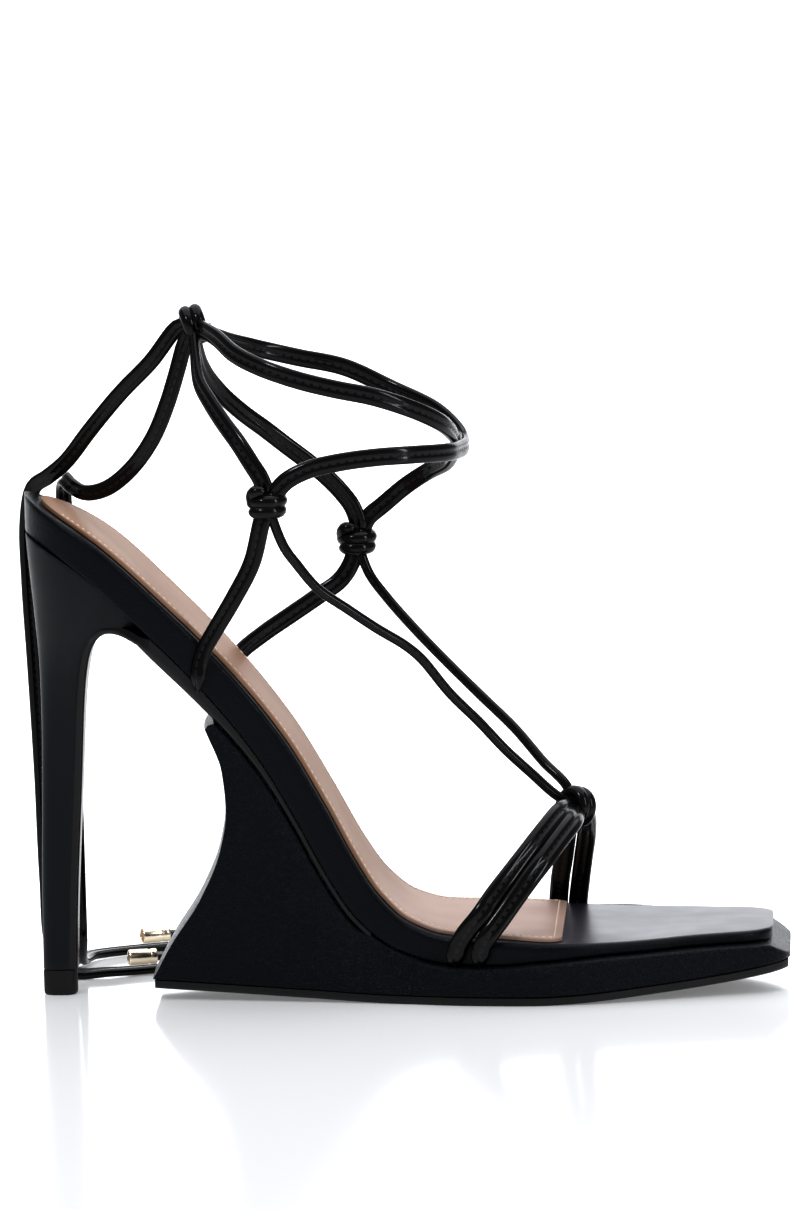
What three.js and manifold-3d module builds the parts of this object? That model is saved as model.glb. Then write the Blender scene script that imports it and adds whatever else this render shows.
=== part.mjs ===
// Lace-up stiletto sandal with a cut-out wedge platform, right shoe.
// Millimetres, +X to the toe, +Y to the inner side of the foot, +Z up.
// The origin lies on the floor under the middle of the heel tip.
import * as THREE from "three";
import { mergeVertices } from "three/addons/utils/BufferGeometryUtils.js";
import Module from "manifold-3d";

const wasm = await Module();
wasm.setup();

// Fit
const GAP = 0.3;

// Footbed
const BED_LENGTH = 196;
const BED_BACK = -6;
const SEAT_HEIGHT = 134.6;
const BALL_WIDTH = 78;
const BAND = 8.3;
const BED_EDGE = 1.4;
const SEAT_RADIUS = 25;
const TOE_CORNER = 8;
const SEAT_TURNS = [8, 22, 38, 54, 70];
const CORNER_TURNS = [25, 55, 80];
const LAST_SLIVER = 0.02;
const CLEARANCE_LIFT = 1.6;

// Insole
const INSOLE_THICKNESS = 0.9;
const INSOLE_MARGIN = 1.6;
const INSOLE_BACK = 4.5;
const INSOLE_LENGTH = 136;

// Waist sole and its flap down the heel breast
const SOLE_THICKNESS = 3;
const SOLE_FRONT = 84;
const FLAP_INSET = 0.4;

// Wedge platform and outsole
const WEDGE_BACK = 25.5;
const PLATFORM_LENGTH = 169;
const PLATFORM_CORNER = 8;
const PLATFORM_EDGE = 1.6;
const PLATFORM_SLANT = 3.2;
const SLANT_RUN = 5.5;
const WEDGE_SCOOP = 21;
const WEDGE_TIP_HEIGHT = 73;
const WEDGE_BOW = 2;
const WEDGE_NOSE = 2.4;
const WEDGE_TOE = 1;
const TOE_SPRING = 6.3;
const OUTSOLE_THICKNESS = 2.2;
const OUTSOLE_INSET = 0.6;

// Heel
const TIP_HEIGHT = 6.6;
const STEM_LENGTH = 9.4;
const STEM_WIDTH = 8.6;
const STEM_ROUND_BACK = 0.94;
const STEM_ROUND_FRONT = 0.62;
const STEM_ROUND_SIDE = 0.86;

// Straps
const STRAP_WIDTH = 4.8;
const STRAP_THICKNESS = 2.3;
const CORD_DIAMETER = 2.6;
const STRAP_TURN = 1.6;
const TOE_STRAP_WIDTH = 4.5;
const TOE_STRAP_THICKNESS = 2.76;
const NET_RISE = 81;
const KNOT_LENGTH = 8.6;
const KNOT_WIDTH = 10.4;

// Ties
const TIE_DIAMETER = 3.4;
const TIE_SIDES = 8;
const TIE_STEPS = 60;
const TIE_TIP_DIAMETER = 4.4;
const TIE_TIP_LENGTH = 7.7;
const TIE_TIP_BEVEL = 0.4;
const TIE_TIP_CRIMP = 0.86;

// Footbed by length: top as a share of SEAT_HEIGHT, sides of BALL_WIDTH, band of BAND
const BED = [
  { along: 0.0, top: 1.0, outer: 0.325, inner: 0.325, band: 1.0 },
  { along: 0.097, top: 0.914, outer: 0.322, inner: 0.322, band: 1.0 },
  { along: 0.2, top: 0.774, outer: 0.31, inner: 0.31, band: 1.0 },
  { along: 0.28, top: 0.649, outer: 0.29, inner: 0.295, band: 1.0 },
  { along: 0.35, top: 0.514, outer: 0.276, inner: 0.288, band: 1.0 },
  { along: 0.4, top: 0.387, outer: 0.28, inner: 0.297, band: 1.0 },
  { along: 0.44, top: 0.276, outer: 0.295, inner: 0.323, band: 1.0 },
  { along: 0.47, top: 0.209, outer: 0.313, inner: 0.359, band: 1.0 },
  { along: 0.51, top: 0.1575, outer: 0.346, inner: 0.41, band: 0.93 },
  { along: 0.56, top: 0.133, outer: 0.387, inner: 0.469, band: 0.88 },
  { along: 0.64, top: 0.1245, outer: 0.435, inner: 0.531, band: 0.76 },
  { along: 0.7, top: 0.1175, outer: 0.441, inner: 0.546, band: 0.53 },
  { along: 0.8, top: 0.1145, outer: 0.378, inner: 0.487, band: 0.36 },
  { along: 0.9, top: 0.1185, outer: 0.295, inner: 0.387, band: 0.34 },
  { along: 1.0, top: 0.121, outer: 0.237, inner: 0.308, band: 0.34 },
];

// Wedge platform's foot by length: sides of BALL_WIDTH, lift of TOE_SPRING
const PLATFORM = [
  { along: 0.0, outer: 0.199, inner: 0.199, lift: 0.5 },
  { along: 0.12, outer: 0.254, inner: 0.26, lift: 0.35 },
  { along: 0.24, outer: 0.308, inner: 0.327, lift: 0.18 },
  { along: 0.4, outer: 0.395, inner: 0.46, lift: 0.0 },
  { along: 0.5, outer: 0.46, inner: 0.553, lift: 0.0 },
  { along: 0.607, outer: 0.49, inner: 0.585, lift: 0.0 },
  { along: 0.66, outer: 0.482, inner: 0.575, lift: 0.04 },
  { along: 0.8, outer: 0.404, inner: 0.506, lift: 0.31 },
  { along: 0.9, outer: 0.34, inner: 0.428, lift: 0.58 },
  { along: 1.0, outer: 0.288, inner: 0.359, lift: 1.0 },
];

// Hollow back of the wedge: up of WEDGE_TIP_HEIGHT, inward of WEDGE_SCOOP
const WEDGE_HOLLOW = [
  { up: 0.06, inward: 0.0 },
  { up: 0.2, inward: 0.26 },
  { up: 0.38, inward: 0.66 },
  { up: 0.56, inward: 0.92 },
  { up: 0.7, inward: 1.0 },
  { up: 0.84, inward: 0.96 },
  { up: 1.0, inward: 0.76 },
];

// Heel by height: up of SEAT_HEIGHT, back and front of STEM_LENGTH, half of STEM_WIDTH
const HEEL = [
  { up: 0.0, back: 0.47, front: 0.5, half: 0.5 },
  { up: 0.16, back: 0.45, front: 0.6, half: 0.54 },
  { up: 0.38, back: 0.37, front: 0.85, half: 0.62 },
  { up: 0.53, back: 0.33, front: 1.2, half: 0.78 },
  { up: 0.62, back: 0.34, front: 1.7, half: 1.05 },
  { up: 0.67, back: 0.37, front: 2.4, half: 1.4 },
  { up: 0.71, back: 0.41, front: 3.2, half: 1.8 },
  { up: 0.76, back: 0.46, front: 3.7, half: 2.2 },
  { up: 0.84, back: 0.55, front: 3.8, half: 2.6 },
  { up: 0.93, back: 0.63, front: 3.9, half: 2.85 },
  { up: 1.04, back: 0.65, front: 3.9, half: 2.9 },
];

// Breast of the heel, from the tip up and over its arch: along of STEM_LENGTH, up of SEAT_HEIGHT
const BREAST = [
  { along: 0.52, up: 0.0, half: 0.5 },
  { along: 0.6, up: 0.15, half: 0.53 },
  { along: 0.79, up: 0.36, half: 0.6 },
  { along: 0.94, up: 0.53, half: 0.78 },
  { along: 1.07, up: 0.605, half: 1.0 },
  { along: 1.22, up: 0.643, half: 1.2 },
  { along: 1.44, up: 0.666, half: 1.4 },
  { along: 1.72, up: 0.675, half: 1.65 },
  { along: 2.1, up: 0.672, half: 2.0 },
  { along: 2.55, up: 0.657, half: 2.35 },
];

// Thickness of the waist sole by length, as shares of SOLE_THICKNESS
const WAIST = [
  { along: 0.0, thick: 0.8 },
  { along: 0.16, thick: 0.9 },
  { along: 0.22, thick: 1.3 },
  { along: 0.28, thick: 1.1 },
  { along: 0.34, thick: 0.7 },
  { along: 0.4, thick: 0.45 },
  { along: 1.0, thick: 0.4 },
];

// Material looks
const LEATHER = { color: 0x0b0c0f, roughness: 0.5, metalness: 0 };
const GLOSS_LEATHER = { color: 0x08080a, roughness: 0.25, metalness: 0 };
const RUBBER = { color: 0x0a0a0b, roughness: 0.75, metalness: 0 };
const SOCK = { color: 0xba9c86, roughness: 0.55, metalness: 0 };
const GOLD = { color: 0xcdbf9f, roughness: 0.25, metalness: 1 };

// A smooth function through a table's column that never overshoots a row
function graph(rows, key, column) {
  const x = rows.map((row) => row[key]);
  const y = rows.map((row) => row[column]);
  const slope = x.slice(1).map((value, i) => (y[i + 1] - y[i]) / (value - x[i]));
  const tangent = x.map((value, i) => {
    if (i === 0) return slope[0];
    if (i === x.length - 1) return slope[i - 1];
    if (slope[i - 1] * slope[i] <= 0) return 0;
    return (2 * slope[i - 1] * slope[i]) / (slope[i - 1] + slope[i]);
  });
  return (at) => {
    const p = THREE.MathUtils.clamp(at, x[0], x[x.length - 1]);
    let i = 0;
    while (i < x.length - 2 && p > x[i + 1]) i += 1;
    const span = x[i + 1] - x[i];
    const t = (p - x[i]) / span;
    const rise = y[i + 1] - y[i];
    const a = tangent[i] * span - rise;
    const b = -tangent[i + 1] * span + rise;
    return y[i] + t * rise + t * (1 - t) * ((1 - t) * a + t * b);
  };
}

// Straight lookup of y at x through points sorted by x
function lookup(points) {
  return (at) => {
    let i = 0;
    while (i < points.length - 2 && at > points[i + 1].x) i += 1;
    const a = points[i];
    const b = points[i + 1];
    return a.y + ((at - a.x) / (b.x - a.x)) * (b.y - a.y);
  };
}

const spread = (from, to, count) =>
  Array.from({ length: count + 1 }, (_, i) => from + ((to - from) * i) / count);

// A closed body through rings that hold the same number of points; its end caps may be hollow
function loft(rings, caps = null) {
  const size = rings[0].length;
  const position = rings.flat().flatMap((p) => [p.x, p.y, p.z]);
  const index = [];
  for (let r = 0; r < rings.length - 1; r += 1) {
    for (let k = 0; k < size; k += 1) {
      const a = r * size + k;
      const b = r * size + ((k + 1) % size);
      index.push(a, b, b + size, a, b + size, a + size);
    }
  }
  const last = (rings.length - 1) * size;
  const fan = caps || spread(1, size - 2, size - 3).map((k) => [0, k, k + 1]);
  for (const [a, b, c] of fan) {
    index.push(a, c, b);
    index.push(last + a, last + b, last + c);
  }
  const geometry = new THREE.BufferGeometry();
  geometry.setAttribute("position", new THREE.Float32BufferAttribute(position, 3));
  geometry.setIndex(index);
  return facedOut(geometry);
}

function facedOut(geometry) {
  const p = geometry.attributes.position;
  const index = geometry.index.array;
  const [a, b, c] = [new THREE.Vector3(), new THREE.Vector3(), new THREE.Vector3()];
  let volume = 0;
  for (let i = 0; i < index.length; i += 3) {
    a.fromBufferAttribute(p, index[i]);
    b.fromBufferAttribute(p, index[i + 1]);
    c.fromBufferAttribute(p, index[i + 2]);
    volume += a.dot(b.cross(c));
  }
  if (volume < 0) {
    for (let i = 0; i < index.length; i += 3) {
      [index[i + 1], index[i + 2]] = [index[i + 2], index[i + 1]];
    }
  }
  return geometry;
}

function solid(geometry) {
  let plain = geometry.clone();
  plain.deleteAttribute("normal");
  plain.deleteAttribute("uv");
  plain = mergeVertices(plain, 1e-4);
  const mesh = new wasm.Mesh({
    numProp: 3,
    vertProperties: new Float32Array(plain.attributes.position.array),
    triVerts: new Uint32Array(plain.index.array),
  });
  return new wasm.Manifold(mesh);
}

function surface(body) {
  const mesh = body.getMesh();
  const geometry = new THREE.BufferGeometry();
  geometry.setAttribute("position", new THREE.Float32BufferAttribute(mesh.vertProperties, 3));
  geometry.setIndex(Array.from(mesh.triVerts));
  return geometry;
}

const joined = (bodies) => bodies.reduce((sum, body) => sum.add(body));

// Footbed
const bedX = (along) => BED_BACK + along * BED_LENGTH;
const bedShare = (x) => (x - BED_BACK) / BED_LENGTH;
const BED_FRONT = bedX(1);
const bedColumn = {
  top: graph(BED, "along", "top"),
  outer: graph(BED, "along", "outer"),
  inner: graph(BED, "along", "inner"),
  band: graph(BED, "along", "band"),
};
const bedTop = (x) => SEAT_HEIGHT * bedColumn.top(bedShare(x));

// Pulls a side in round the seat and round the toe corner
function rounded(x, back, front, radius, corner) {
  const heelReach = THREE.MathUtils.clamp((back + radius - x) / radius, 0, 1);
  const toeReach = THREE.MathUtils.clamp((x - front + corner) / corner, 0, 1);
  return {
    share: Math.sqrt(1 - heelReach * heelReach),
    inset: corner * (1 - Math.sqrt(1 - toeReach * toeReach)),
  };
}

function bedSides(x, grow = 0) {
  const ends = rounded(x, BED_BACK - grow, BED_FRONT + grow, SEAT_RADIUS, TOE_CORNER);
  const side = (column) =>
    (BALL_WIDTH * bedColumn[column](bedShare(x)) + grow) * ends.share - ends.inset;
  return { outer: side("outer"), inner: side("inner") };
}

// A line parallel to the footbed's top, lower by a depth that changes along it
function below(depth) {
  const step = 0.5;
  const points = spread(0, 1, 160).map((share) => {
    const x = bedX(share);
    const slope = (bedTop(x + step) - bedTop(x - step)) / (2 * step);
    const normal = new THREE.Vector2(slope, -1).normalize();
    return new THREE.Vector2(x, bedTop(x)).addScaledVector(normal, depth(x));
  });
  return lookup(points);
}

const band = (x) => BAND * bedColumn.band(bedShare(x));
const waistThick = graph(WAIST, "along", "thick");
const waist = (x) => SOLE_THICKNESS * waistThick(bedShare(x));
const bedUnder = below(band);
const bedUnderSeat = below((x) => band(x) + GAP);
const waistOuter = below((x) => band(x) + GAP + waist(x));
const wedgeCeiling = below((x) => band(x) + 2 * GAP + waist(x));

// A section across the shoe with softened upper edges
function crossSection(x, sides, floor, top, edge, foot = sides) {
  const soft = Math.min(edge, (top - floor) * 0.45, sides.outer * 0.4);
  return [
    new THREE.Vector3(x, -foot.outer, floor),
    new THREE.Vector3(x, -sides.outer, top - soft),
    new THREE.Vector3(x, -sides.outer + soft * 0.3, top - soft * 0.3),
    new THREE.Vector3(x, -sides.outer + soft, top),
    new THREE.Vector3(x, sides.inner - soft, top),
    new THREE.Vector3(x, sides.inner - soft * 0.3, top - soft * 0.3),
    new THREE.Vector3(x, sides.inner, top - soft),
    new THREE.Vector3(x, foot.inner, floor),
  ];
}

// Stations shared by all the layers, so that their facets lie over one another
const GRID = spread(BED_BACK, BED_FRONT, 36);
const gridBetween = (from, to) => GRID.filter((x) => x > from + 1.5 && x < to - 1.5);

const cornerStations = (front, corner) => [
  ...CORNER_TURNS.map((turn) => {
    return front - corner * (1 - Math.sin(THREE.MathUtils.degToRad(turn)));
  }),
  front - LAST_SLIVER,
];

// Stations that crowd round the seat's curve and the toe's corner
function stations(back, front, radius, corner) {
  const heel = SEAT_TURNS.map((turn) => {
    return back + radius * (1 - Math.cos(THREE.MathUtils.degToRad(turn)));
  });
  const toe = cornerStations(front, corner);
  return [...heel, ...gridBetween(heel[heel.length - 1], toe[0]), ...toe];
}

function footbed(grow = 0) {
  const xs = stations(BED_BACK - grow, BED_FRONT + grow, SEAT_RADIUS, TOE_CORNER);
  return loft(xs.map((x) => {
    const held = THREE.MathUtils.clamp(x, BED_BACK, BED_FRONT);
    const lift = grow * CLEARANCE_LIFT;
    const [floor, top] = [bedUnder(held) - lift, bedTop(held) + lift];
    return crossSection(x, bedSides(x, grow), floor, top, BED_EDGE);
  }));
}

function insole() {
  const back = BED_BACK + INSOLE_BACK;
  const front = back + INSOLE_LENGTH;
  const radius = SEAT_RADIUS - INSOLE_MARGIN;
  const corner = TOE_CORNER * 0.5;
  const lower = below(() => -GAP);
  const upper = below(() => -GAP - INSOLE_THICKNESS);
  return loft(stations(back, front, radius, corner).map((x) => {
    const ends = rounded(x, back, front, radius, corner);
    const side = (column) => {
      const full = BALL_WIDTH * bedColumn[column](bedShare(x)) - INSOLE_MARGIN - BED_EDGE;
      return full * ends.share - ends.inset;
    };
    const sides = { outer: side("outer"), inner: side("inner") };
    return crossSection(x, sides, lower(x), upper(x), INSOLE_THICKNESS * 0.5);
  }));
}

// Sections of the waist sole: up the heel breast, over its arch, then under the footbed
function breastRows() {
  const rows = BREAST.map((row) => ({
    outer: new THREE.Vector2(row.along * STEM_LENGTH, TIP_HEIGHT + GAP + row.up * SEAT_HEIGHT),
    half: row.half * STEM_WIDTH - FLAP_INSET,
  }));
  return rows.map((row, i) => {
    const ahead = rows[Math.min(i + 1, rows.length - 1)].outer.clone();
    ahead.sub(rows[Math.max(i - 1, 0)].outer).normalize();
    const inward = new THREE.Vector2(-ahead.y, ahead.x);
    return { ...row, inward, inner: row.outer.clone().addScaledVector(inward, waist(BED_BACK)) };
  });
}

function waistRows() {
  const start = STEM_LENGTH * (BREAST[BREAST.length - 1].along + 0.4);
  return [...gridBetween(start, SOLE_FRONT), SOLE_FRONT].map((x) => {
    const sides = bedSides(x);
    return {
      outer: new THREE.Vector2(x, waistOuter(x)),
      inner: new THREE.Vector2(x, bedUnderSeat(x)),
      half: Math.min(sides.outer, sides.inner) - FLAP_INSET,
    };
  });
}

function waistSole() {
  return loft([...breastRows(), ...waistRows()].map(({ outer, inner, half }) => {
    const at = (depth, y) => {
      const p = outer.clone().lerp(inner, depth);
      return new THREE.Vector3(p.x, y, p.y);
    };
    const soft = FLAP_INSET * 2;
    return [
      at(1, -half),
      at(0.4, -half),
      at(0, -half + soft),
      at(0, half - soft),
      at(0.4, half),
      at(1, half),
    ];
  }));
}

// Everything in front of and under the flap's inner face
function breastCutter() {
  const inner = breastRows().map((row) => row.inner.clone().addScaledVector(row.inward, GAP));
  const far = SOLE_FRONT * 2;
  const shape = new THREE.Shape([
    new THREE.Vector2(inner[0].x, -TIP_HEIGHT),
    ...inner,
    new THREE.Vector2(far, inner[inner.length - 1].y),
    new THREE.Vector2(far, -TIP_HEIGHT),
  ]);
  return sideways(shape, BALL_WIDTH);
}

// A side view's outline made solid across the shoe
function sideways(shape, width) {
  const across = { depth: width, bevelEnabled: false, curveSegments: 1 };
  const geometry = new THREE.ExtrudeGeometry(shape, across);
  geometry.rotateX(Math.PI / 2);
  geometry.translate(0, width / 2, 0);
  return solid(geometry);
}

// Everything above the seat that the heel carries
function seatBlock() {
  const xs = spread(2 * BED_BACK, bedX(0.4), 24);
  const lower = xs.map((x) => {
    return new THREE.Vector2(x, bedUnderSeat(Math.max(x, BED_BACK)) - GAP * 0.4);
  });
  const ceiling = SEAT_HEIGHT * 1.3;
  const shape = new THREE.Shape([
    ...lower,
    new THREE.Vector2(xs[xs.length - 1], ceiling),
    new THREE.Vector2(xs[0], ceiling),
  ]);
  return sideways(shape, BALL_WIDTH);
}

// A heel section: round at the back, squarer at the breast
function heelRing(back, front, half, z) {
  const middle = (front - back) / 2;
  const reach = (front + back) / 2;
  return spread(0, 1, 20).slice(0, 20).map((turn) => {
    const angle = turn * 2 * Math.PI;
    const [c, s] = [Math.cos(angle), Math.sin(angle)];
    const power = c > 0 ? STEM_ROUND_FRONT : STEM_ROUND_BACK;
    return new THREE.Vector3(
      middle + reach * Math.sign(c) * Math.abs(c) ** power,
      half * Math.sign(s) * Math.abs(s) ** STEM_ROUND_SIDE,
      z,
    );
  });
}

function heel() {
  const column = (name) => graph(HEEL, "up", name);
  const [back, front, half] = [column("back"), column("front"), column("half")];
  const rings = spread(0, 1.04, 26).map((up) => heelRing(
    back(up) * STEM_LENGTH,
    front(up) * STEM_LENGTH,
    half(up) * STEM_WIDTH,
    TIP_HEIGHT + GAP + up * (SEAT_HEIGHT - TIP_HEIGHT),
  ));
  return surface(solid(loft(rings)).subtract(seatBlock()).subtract(breastCutter()));
}

function heelTip() {
  const back = HEEL[0].back * STEM_LENGTH;
  const half = HEEL[0].half * STEM_WIDTH;
  return loft([
    heelRing(back * 0.94, back * 0.94, half * 0.94, 0),
    heelRing(back, back * 1.02, half, TIP_HEIGHT * 0.25),
    heelRing(back, back * 1.06, half, TIP_HEIGHT),
  ]);
}

// Wedge platform and outsole
const platformX = (along) => WEDGE_BACK + along * PLATFORM_LENGTH;
const platformShare = (x) => (x - WEDGE_BACK) / PLATFORM_LENGTH;
const PLATFORM_FRONT = platformX(1);
const platformColumn = {
  outer: graph(PLATFORM, "along", "outer"),
  inner: graph(PLATFORM, "along", "inner"),
  lift: graph(PLATFORM, "along", "lift"),
};
const floorLift = (x) => TOE_SPRING * platformColumn.lift(platformShare(x));

function platformSides(x, trim = 0) {
  const turn = (x - PLATFORM_FRONT + PLATFORM_CORNER) / PLATFORM_CORNER;
  const reach = THREE.MathUtils.clamp(turn, 0, 1);
  const inset = PLATFORM_CORNER * (1 - Math.sqrt(1 - reach * reach)) + trim;
  const side = (column) => BALL_WIDTH * platformColumn[column](platformShare(x)) - inset;
  return { outer: side("outer"), inner: side("inner") };
}

// The wedge's head is as wide as the waist, its platform stands proud of the footbed
function headSides(x) {
  const foot = platformSides(x);
  if (x > BED_FRONT) return foot;
  const bed = bedSides(x);
  const proud = THREE.MathUtils.smoothstep(bedShare(x), 0.46, 0.56);
  const mix = (a, b) => THREE.MathUtils.lerp(a - GAP, b, proud);
  return { outer: mix(bed.outer, foot.outer), inner: mix(bed.inner, foot.inner) };
}

function wedgeTop(x) {
  const held = Math.min(x, BED_FRONT);
  return x < SOLE_FRONT + 1.5 * GAP ? wedgeCeiling(held) : bedUnder(held) - GAP * 1.2;
}

function wedgeXs() {
  const toe = cornerStations(PLATFORM_FRONT, PLATFORM_CORNER);
  return [
    WEDGE_BACK,
    ...gridBetween(WEDGE_BACK, SOLE_FRONT),
    SOLE_FRONT + GAP,
    SOLE_FRONT + 2 * GAP,
    ...gridBetween(SOLE_FRONT + GAP, toe[0]),
    ...toe,
  ];
}

function wedgePlatform() {
  const body = loft(wedgeXs().map((x) => {
    const foot = platformSides(x);
    const slant = Math.max(0, 1 - (PLATFORM_FRONT - x) / SLANT_RUN);
    const floor = floorLift(x) + OUTSOLE_THICKNESS + GAP;
    const top = wedgeTop(x) - slant * PLATFORM_SLANT;
    return crossSection(x, headSides(x), floor, top, PLATFORM_EDGE, foot);
  }));
  return surface(solid(body).subtract(hollowCutter()));
}

// The scoop behind the wedge, bowed so that the back face is full in its middle
function hollowCutter() {
  const inward = graph(WEDGE_HOLLOW, "up", "inward");
  const first = WEDGE_HOLLOW[0].up;
  const edge = spread(first, 1, 14).map((up) => ({
    x: WEDGE_BACK + WEDGE_SCOOP * inward(up),
    z: WEDGE_TIP_HEIGHT * up,
  }));
  const tip = edge[edge.length - 1];
  const outline = [
    { x: WEDGE_BACK - WEDGE_SCOOP, z: -TIP_HEIGHT },
    { x: WEDGE_BACK + WEDGE_TOE, z: -TIP_HEIGHT },
    { x: WEDGE_BACK + WEDGE_TOE, z: WEDGE_TIP_HEIGHT * first * 0.6 },
    ...edge,
    { x: tip.x + WEDGE_NOSE * 0.3, z: tip.z + WEDGE_NOSE * 0.45 },
    { x: tip.x + WEDGE_NOSE, z: tip.z + WEDGE_NOSE * 0.65 },
    { x: tip.x + WEDGE_NOSE, z: SEAT_HEIGHT },
    { x: WEDGE_BACK - WEDGE_SCOOP, z: SEAT_HEIGHT },
  ];
  const reach = BALL_WIDTH * 0.4;
  const ribs = spread(-1, 1, 8).map((share) => {
    const bow = WEDGE_BOW * (1 - share * share);
    return outline.map((p) => new THREE.Vector3(p.x - bow + WEDGE_BOW * 0.5, share * reach, p.z));
  });
  const flat = outline.map((p) => new THREE.Vector2(p.x, p.z));
  const turned = THREE.ShapeUtils.isClockWise(flat);
  const caps = THREE.ShapeUtils.triangulateShape(flat, []);
  return solid(loft(ribs, turned ? caps.map(([a, b, c]) => [a, c, b]) : caps));
}

function outsole() {
  const [back, front] = [WEDGE_BACK + OUTSOLE_INSET, PLATFORM_FRONT - OUTSOLE_INSET];
  const between = wedgeXs().filter((x) => x > back + GAP && x < front - GAP);
  return loft([back, ...between, front].map((x) => {
    const floor = floorLift(x);
    const sides = platformSides(x, OUTSOLE_INSET);
    const foot = { outer: sides.outer - OUTSOLE_INSET, inner: sides.inner - OUTSOLE_INSET };
    const top = floor + OUTSOLE_THICKNESS;
    return [
      new THREE.Vector3(x, -foot.outer, floor),
      new THREE.Vector3(x, -sides.outer, floor + OUTSOLE_INSET),
      new THREE.Vector3(x, -sides.outer, top),
      new THREE.Vector3(x, sides.inner, top),
      new THREE.Vector3(x, sides.inner, floor + OUTSOLE_INSET),
      new THREE.Vector3(x, foot.inner, floor),
    ];
  }));
}

// Straps: a point by its share of the bed's length, of the ball's width and of the net's rise
const spot = (along, side, rise) => {
  const x = bedX(along);
  return new THREE.Vector3(x, side * BALL_WIDTH, bedTop(x) + rise * NET_RISE);
};

// A point beside the band, out from its side by the clearance and half a strap
const beside = (along, hand, drop, out = 0) => {
  const x = bedX(along);
  const sides = bedSides(x);
  const y = hand < 0 ? -sides.outer : sides.inner;
  return new THREE.Vector3(x, y + hand * (GAP + STRAP_THICKNESS / 2 + out), bedTop(x) - drop);
};

const OUTER_KNOT = spot(0.336, -0.41, 0.749);
const INNER_KNOT = spot(0.441, 0.41, 0.983);
const TOE_KNOT = spot(0.736, 0.05, 0.39);
const BACK_KNOT = spot(0.235, 0.0, 1.0);

const OUTER_LOOP = [
  beside(0.235, -1, BAND * 1.25),
  beside(0.238, -1, BAND * 0.7),
  beside(0.246, -1, 0, 0.5),
  spot(0.263, -0.343, 0.115),
  spot(0.288, -0.378, 0.285),
  spot(0.314, -0.4, 0.482),
  spot(0.328, -0.41, 0.655),
  OUTER_KNOT,
];
const INNER_LOOP = [
  beside(0.262, 1, BAND * 1.42),
  beside(0.268, 1, BAND * 0.75),
  beside(0.28, 1, 0, 0.5),
  spot(0.311, 0.345, 0.15),
  spot(0.348, 0.375, 0.331),
  spot(0.389, 0.398, 0.564),
  spot(0.417, 0.405, 0.739),
  spot(0.434, 0.41, 0.88),
  INNER_KNOT,
];
const OUTER_INSTEP = [
  OUTER_KNOT,
  spot(0.357, -0.385, 0.68),
  spot(0.374, -0.36, 0.686),
  spot(0.4, -0.333, 0.719),
  spot(0.438, -0.295, 0.823),
  spot(0.477, -0.256, 0.89),
  spot(0.513, -0.218, 0.9),
  spot(0.534, -0.192, 0.874),
  spot(0.571, -0.141, 0.77),
  spot(0.61, -0.09, 0.671),
  spot(0.644, -0.06, 0.58),
  spot(0.678, -0.03, 0.504),
  spot(0.71, 0.01, 0.43),
  TOE_KNOT,
];
const INNER_INSTEP = [
  INNER_KNOT,
  spot(0.457, 0.385, 0.937),
  spot(0.48, 0.36, 0.93),
  spot(0.518, 0.32, 0.895),
  spot(0.561, 0.282, 0.82),
  spot(0.607, 0.23, 0.722),
  spot(0.654, 0.18, 0.622),
  spot(0.694, 0.115, 0.522),
  spot(0.722, 0.07, 0.46),
  TOE_KNOT,
];
const OUTER_RISE = [
  OUTER_KNOT,
  spot(0.334, -0.41, 0.785),
  spot(0.328, -0.405, 0.805),
  spot(0.317, -0.39, 0.811),
  spot(0.299, -0.355, 0.821),
  spot(0.279, -0.305, 0.823),
  spot(0.259, -0.24, 0.833),
  spot(0.244, -0.165, 0.85),
  spot(0.238, -0.085, 0.91),
  BACK_KNOT,
];
const INNER_RISE = [
  INNER_KNOT,
  spot(0.444, 0.41, 1.035),
  spot(0.437, 0.41, 1.07),
  spot(0.422, 0.407, 1.055),
  spot(0.4, 0.397, 1.01),
  spot(0.379, 0.385, 0.962),
  spot(0.35, 0.365, 0.902),
  spot(0.32, 0.335, 0.862),
  spot(0.292, 0.29, 0.834),
  spot(0.264, 0.22, 0.83),
  spot(0.244, 0.12, 0.87),
  BACK_KNOT,
];
const OUTER_FRONT = [
  OUTER_KNOT,
  spot(0.349, -0.42, 0.831),
  spot(0.364, -0.423, 0.926),
  spot(0.394, -0.423, 1.091),
  spot(0.434, -0.42, 1.297),
  spot(0.483, -0.41, 1.481),
  spot(0.532, -0.36, 1.557),
  spot(0.575, -0.24, 1.571),
  spot(0.591, -0.1, 1.568),
  spot(0.598, 0.02, 1.573),
  spot(0.59, 0.13, 1.6),
  spot(0.556, 0.25, 1.655),
  spot(0.495, 0.346, 1.655),
  spot(0.43, 0.385, 1.51),
  spot(0.367, 0.385, 1.26),
  spot(0.306, 0.32, 1.09),
  spot(0.265, 0.15, 1.02),
  BACK_KNOT,
];
const INNER_FRONT = [
  INNER_KNOT,
  spot(0.449, 0.415, 1.05),
  spot(0.457, 0.42, 1.117),
  spot(0.478, 0.42, 1.223),
  spot(0.509, 0.4, 1.348),
  spot(0.541, 0.34, 1.434),
  spot(0.568, 0.22, 1.488),
  spot(0.581, 0.1, 1.535),
  spot(0.586, -0.02, 1.58),
  spot(0.581, -0.14, 1.63),
  spot(0.566, -0.25, 1.672),
  spot(0.529, -0.345, 1.704),
  spot(0.48, -0.395, 1.67),
  spot(0.431, -0.405, 1.52),
  spot(0.382, -0.392, 1.325),
  spot(0.332, -0.352, 1.17),
  spot(0.296, -0.285, 1.094),
  spot(0.269, -0.18, 1.062),
  BACK_KNOT,
];
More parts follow.
